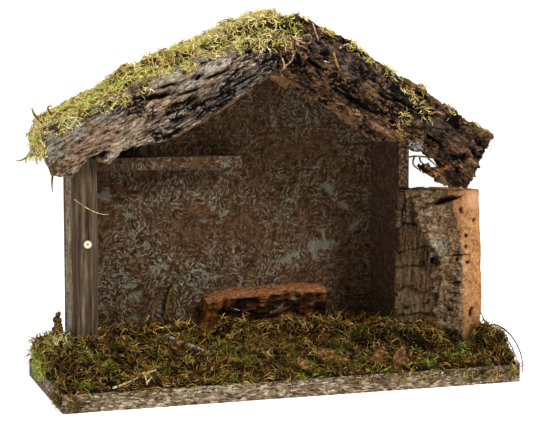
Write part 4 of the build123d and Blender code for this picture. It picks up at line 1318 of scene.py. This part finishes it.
# %% Bundles of stems
# Each bundle: name, slot, colours, and its stems with thickness, taper, five points and a lift
bundle_rows = (
    ("root_curls", "brown_stem", ("#6d4c39", "#a98163", "#d2b08d"), (
        (1.5, 0.4, ((290.5, 35.5), (296.6, 40.1), (301.7, 42.7), (305.8, 44.2), (309.9, 42.7))),
        (1.4, 0.4, ((296.1, 41.6), (297, 44), (298.5, 46), (300.5, 46.5), (302.8, 45.7))),
        (1.4, 0.3, ((293.6, 50.8), (294.1, 56.9), (292.0, 62.5), (287.0, 64.0), (283.5, 67))),
        (1.4, 0.3, ((282.0, 58), (284.0, 62), (285.0, 66), (284.0, 69.5), (281.5, 70))),
        (1.4, 0.5, ((313, 23.3), (314.5, 28.9), (316, 33), (317.5, 37), (318.6, 41))),
        (1.2, 0.5, ((300, 30), (296, 34), (293, 39), (292, 44), (293, 49))),
        (1.2, 0.5, ((303, 36), (308, 33), (312, 35), (313, 39), (310, 42))),
        (1.2, 0.4, ((340, 48), (345, 44), (350, 42), (353, 45), (350, 49))),
        (1.1, 0.4, ((430, 114), (434, 112), (437, 111), (440, 112), (442, 115))),
    )),
    ("pale_straws", "grey_wood", ("#8a7448", "#bca674", "#dccb9c"), (
        (1.6, 0.4, ((113, 388), (124, 385), (135, 379), (145, 374), (156, 370)), 4.0),
        (1.3, 0.4, ((143, 373), (145, 376), (146, 379), (147, 382), (147, 385)), 4.0),
        (1.1, 0.4, ((152, 377), (150, 379), (148, 381), (147, 383), (147, 385)), 4.0),
        (1.1, 0.4, ((281.8, 20.2), (278.5, 23), (276.5, 27), (276.2, 31), (277, 35.5))),
        (0.9, 0.4, ((324, 61), (325.5, 61.4), (327, 61.8), (328.5, 62.2), (330, 62.6))),
        (0.5, 0.0, (
            (-145.5, -13, 134.0), (-139.5, -15.5, 129.5), (-134.3, -15.5, 125.5),
            (-128.5, -14, 123.0), (-122, -13, 123.3),
        )),
        (0.6, 0.5, ((231, 308), (236, 309), (241, 311), (246, 312), (250, 314))),
    )),
    ("dark_stems", "brown_stem", ("#20150a", "#413015", "#6b5529"), (
        (1.9, 0.3, (
            (125, -27, 157.0), (116, -27, 160.4), (108, -27, 158.8),
            (101, -27, 162.0), (95, -27, 160.0),
        )),
        (1.6, 0.4, (
            (99.6, -27, 161.2), (96.6, -27, 155.5), (97.4, -27, 153.2),
            (101.8, -27, 152.4), (104.4, -27, 149.5),
        )),
        (1.4, 0.3, (
            (103.5, -27, 160.9), (102.6, -27, 157.1), (104.6, -27, 155.4),
            (107.5, -27, 154.4), (110.5, -27, 152.4),
        )),
        (1.4, 0.5, (
            (109.5, -27, 159.6), (111.5, -27, 157.0), (113.5, -27, 156.5),
            (115.5, -27, 154.1), (118.5, -27, 151.6),
        )),
        (1.3, 0.5, (
            (116.2, -27, 160.0), (117.0, -27, 157.6), (119.4, -27, 157.4),
            (121.0, -27, 155.4), (123.5, -27, 153.0),
        )),
        (2.4, 0.8, (
            (-160, -29, 163), (-162.4, -30, 156), (-163.4, -30, 150),
            (-164.0, -30, 145), (-163.0, -30, 140.5),
        )),
        (4.0, 0.2, ((67.9, 36, 24), (66.3, 36, 30), (64.6, 36, 34), (63.4, 36, 38), (62.4, 36, 42))),
        (1.3, 0.3, ((161, -24, 33), (166, -30, 39), (172, -42, 32), (175, -55, 20), (167, -67, 7))),
        (1.2, 0.5, ((162, -22, 32), (160, -20, 38), (159, -19, 41), (158, -18, 44), (157, -17, 48))),
        (1.1, 0.4, ((160, -30, 24), (168, -38, 30), (171, -46, 24), (169, -54, 16), (163, -60, 13))),
    )),
    ("back_stem", "brown_stem", ("#2a220d", "#4f431d", "#786838"), (
        (2.7, 0.4, (
            (-56.4, 57.0, 33.0), (-69.5, 57.0, 40.5), (-63.0, 57.5, 53.7),
            (-59.5, 57.5, 71.0), (-45.0, 58.0, 73.3),
        )),
    )),
    ("moss_runners", "roof_moss", ("#4f4514", "#857430", "#bba95a"), (
        (1.8, 0.5, (
            (-158, -2, 168), (-167.7, 0, 168.2), (-174.9, 0, 162.8),
            (-179, 0, 158.5), (-182, 0, 160.5),
        )),
        (1.5, 0.5, ((-160, 6, 172), (-169, 4, 172), (-173, 4, 165), (-176, 4, 162), (-175, 4, 158))),
        (1.4, 0.5, ((-158, -8, 166), (-164, -8, 168), (-170, -8, 166), (-172, -8, 161), (-169, -8, 158))),
    )),
    ("leaf_scraps", "dry_leaf", ("#4a2f14", "#80592b", "#b18a50"), (
        (2.1, 0.2, ((333.4, 52.9), (334.5, 57), (336, 62), (338, 67), (340, 71.2))),
        (2.6, 0.5, (
            (-162, 2, 184), (-166, 0, 188), (-169.5, 0, 189.5),
            (-170.5, 0, 192), (-171.0, 0, 195.5),
        )),
        (1.6, 0.4, (
            (-156, 2, 189), (-160, 0, 193.5), (-162.0, 0, 196),
            (-160, 0, 198), (-157.5, 0, 196.5),
        )),
        (3.0, 0.5, ((-114, 0, 217), (-112, 0, 221), (-109.5, 0, 224), (-107.5, 0, 226), (-105, 0, 225))),
        (2.2, 0.5, ((-93, 0, 226), (-88, 0, 230), (-84, 0, 233.5), (-80, 0, 236), (-77, 0, 237))),
    )),
)
for name, slot, colours, rows in bundle_rows:
    made = [stem(points, thickness, taper, *lift) for thickness, taper, points, *lift in rows]
    for part in made:
        part.select_set(True)
    bpy.context.view_layer.objects.active = made[0]
    bpy.ops.object.join()
    bundle = bpy.context.object
    bundle.name = name
    fit_piece(bundle, litter_finish(name + "_dried", colours, 2.2), slot)

# %% [markdown]
# ## Scraps of bark
# Below the right slab's end hangs a broad flake of inner bark, and two small scraps beside it.
# Each starts as an outline, is drawn out to its thickness and then gets the same relief and
# the same finish as the slab that it hangs from.

# %% Bark scraps
def bark_scrap(name, outline, front, thickness):
    """A flat piece of bark from its outline in X and Z and where its front lies, in millimetres."""
    bpy.ops.object.select_all(action="DESELECT")
    bpy.ops.mesh.primitive_circle_add(vertices=len(outline), radius=1 * mm, fill_type="NGON")
    piece = bpy.context.object
    piece.name = name
    for vertex, (x, z) in zip(piece.data.vertices, outline):
        vertex.co = Vector((x, front, z)) * mm
    bpy.ops.object.mode_set(mode="EDIT")
    bpy.ops.mesh.select_all(action="SELECT")
    bpy.ops.mesh.extrude_region_move(TRANSFORM_OT_translate={"value": (0, thickness * mm, 0)})
    bpy.ops.mesh.select_all(action="SELECT")
    bpy.ops.mesh.normals_make_consistent(inside=False)
    bpy.ops.object.mode_set(mode="OBJECT")
    remesh(piece, 0.8 * mm)
    shape(piece, bark_shaping(name + "_relief", -right_slope, (14, 9, 6), 2.2 * mm, 2.2 * mm, ()))
    fit_piece(piece, dark_bark, "dark_bark")


# %% Cut the scraps
tongue_outline = (
    (106.5, 154.8), (111.3, 152.9), (122.5, 152.4), (124.9, 158.2), (130.5, 158.2),
    (137.9, 150.5), (138.6, 138.4), (132.4, 137.1), (117.8, 143.8), (113.0, 148.2),
)
bark_scrap("tongue_flake", tongue_outline, -29, 7)
scrap_outline = ((105.2, 169.4), (110.8, 172), (117.4, 168.6), (116.4, 160.7), (111.6, 159.2), (106, 162))
bark_scrap("hanging_scrap", scrap_outline, -30, 6)
wall_outline = (
    (94.2, 173.1), (97, 180), (106, 180), (108.4, 170.0),
    (107.6, 163.9), (102.1, 162.8), (96.6, 164.3), (93.4, 167.9),
)
bark_scrap("wall_scrap", wall_outline, -29, 4)

# %% [markdown]
# ## Moss that spills over
# Moss is laid on loosely, so it hangs over the edges of the board and of the eave, and makes
# mounds beside the cork, the post and the bench and on the roof. Small grids and flattened
# balls carry the same strands there.

# %% Spills
edge_lay = ((1.2, 1.9), (0.5, 2.6), (0.45, 0.9))


def spill(name, size, place, turn, density, seed, finish=floor_strands, slot="floor_moss"):
    """Strands hanging on a board's edge, grown from a small upright grid."""
    bpy.ops.object.select_all(action="DESELECT")
    bpy.ops.mesh.primitive_grid_add(x_subdivisions=24, y_subdivisions=8, size=1.0)
    piece = bpy.context.object
    piece.name = name
    piece.scale = (size[0] * mm, size[1] * mm, 1.0)
    piece.rotation_euler = [math.radians(angle) for angle in turn]
    piece.location = Vector(place) * mm
    bpy.ops.object.transform_apply(location=True, rotation=True, scale=True)
    shape(piece, grow_moss(name + "_growth", None, finish, density, edge_lay, 0.0, seed))
    fit_piece(piece, None, slot)


# Each spill: name, width and height, middle, turn, strands for each square millimetre, seed
spill_rows = (
    ("front_spill_right", (76, 4), (74, -68.6, 10.5), (82, 0, 0), 0.5, 111),
    ("front_spill_middle", (190, 2.4), (-58, -67.8, 13), (60, 0, 0), 0.55, 113),
    ("front_spill_corner", (52, 8), (137, -68.6, 8.5), (82, 0, 0), 0.6, 125),
    ("right_end_spill", (84, 6), (165.1, -24, 10), (82, 0, 90), 0.5, 127),
    ("corner_spill_front", (11, 12), (-159, -68.6, 7), (86, 0, 0), 0.9, 115),
    ("corner_spill_side", (24, 9), (-165.1, -56, 8), (86, 0, -90), 0.9, 117),
    ("left_end_spill", (46, 7), (-165.1, 18, 13), (78, 0, -90), 0.7, 119, fresh_strands),
    ("eave_spill", (54, 9), (-168, -5, 167), (84, 0, -90), 0.55, 149, roof_strands, "roof_moss"),
)
for row in spill_rows:
    spill(*row)

# %% Mounds
mound_lay = ((1.2, 1.8), (0.5, 2.6), (0.45, 0.9))
mound_density = 0.55
brown_kind = ("floor_moss", floor_mat, floor_strands)
golden_kind = ("roof_moss", roof_mat, roof_strands)
# Each mound: name, its kind as slot, mat and strands, half sizes, middle, seed
mound_rows = (
    ("right_mound", brown_kind, (9, 28, 17), (158, -28, 18), 121),
    ("corner_mound", brown_kind, (8, 12, 9), (157, -54, 14), 145),
    ("left_mound", ("floor_moss", floor_mat, roof_strands), (9, 16, 17), (-153, 8, 23), 123),
    ("cork_mound", brown_kind, (22, 13, 14), (108, -18, 25), 131),
    ("wall_mound", brown_kind, (20, 12, 15), (86, -6, 25), 141),
    ("bench_mound", brown_kind, (44, 11, 14), (28, 24, 25), 133),
    ("bench_left_mound", brown_kind, (20, 9, 15), (-21, 20, 26), 147),
    ("post_mound", brown_kind, (21, 10, 19), (-138, -18, 20), 135),
    ("left_tussock", ("floor_moss", roof_mat, fresh_strands), (6, 15, 11), (-160, 24, 18), 143),
    ("ridge_mound", golden_kind, (14, 12, 5.5), (-5, -8, 254), 151),
    ("roof_tussock", golden_kind, (16, 14, 9), (-101, 4, 214), 137),
    ("roof_tussock_upper", golden_kind, (14, 12, 7), (-80, 4, 226), 139),
)
for name, (slot, mat, strands), halves, place, seed in mound_rows:
    bpy.ops.object.select_all(action="DESELECT")
    bpy.ops.mesh.primitive_ico_sphere_add(subdivisions=4, radius=1.0)
    mound = bpy.context.object
    mound.name = name
    mound.scale = Vector(halves) * mm
    mound.location = Vector(place) * mm
    bpy.ops.object.transform_apply(location=True, scale=True)
    shape(mound, grow_moss(name + "_growth", mat, strands, mound_density, mound_lay, 3.0, seed))
    fit_piece(mound, None, slot)

# %% [markdown]
# ## Clear up
# The strands that were copied are no longer needed. The dressed model may stand only a
# little outside the solid one.

# %% Clear up and finish
for kind in list(moss_kinds.objects):
    bpy.data.objects.remove(kind)
bpy.data.collections.remove(moss_kinds)
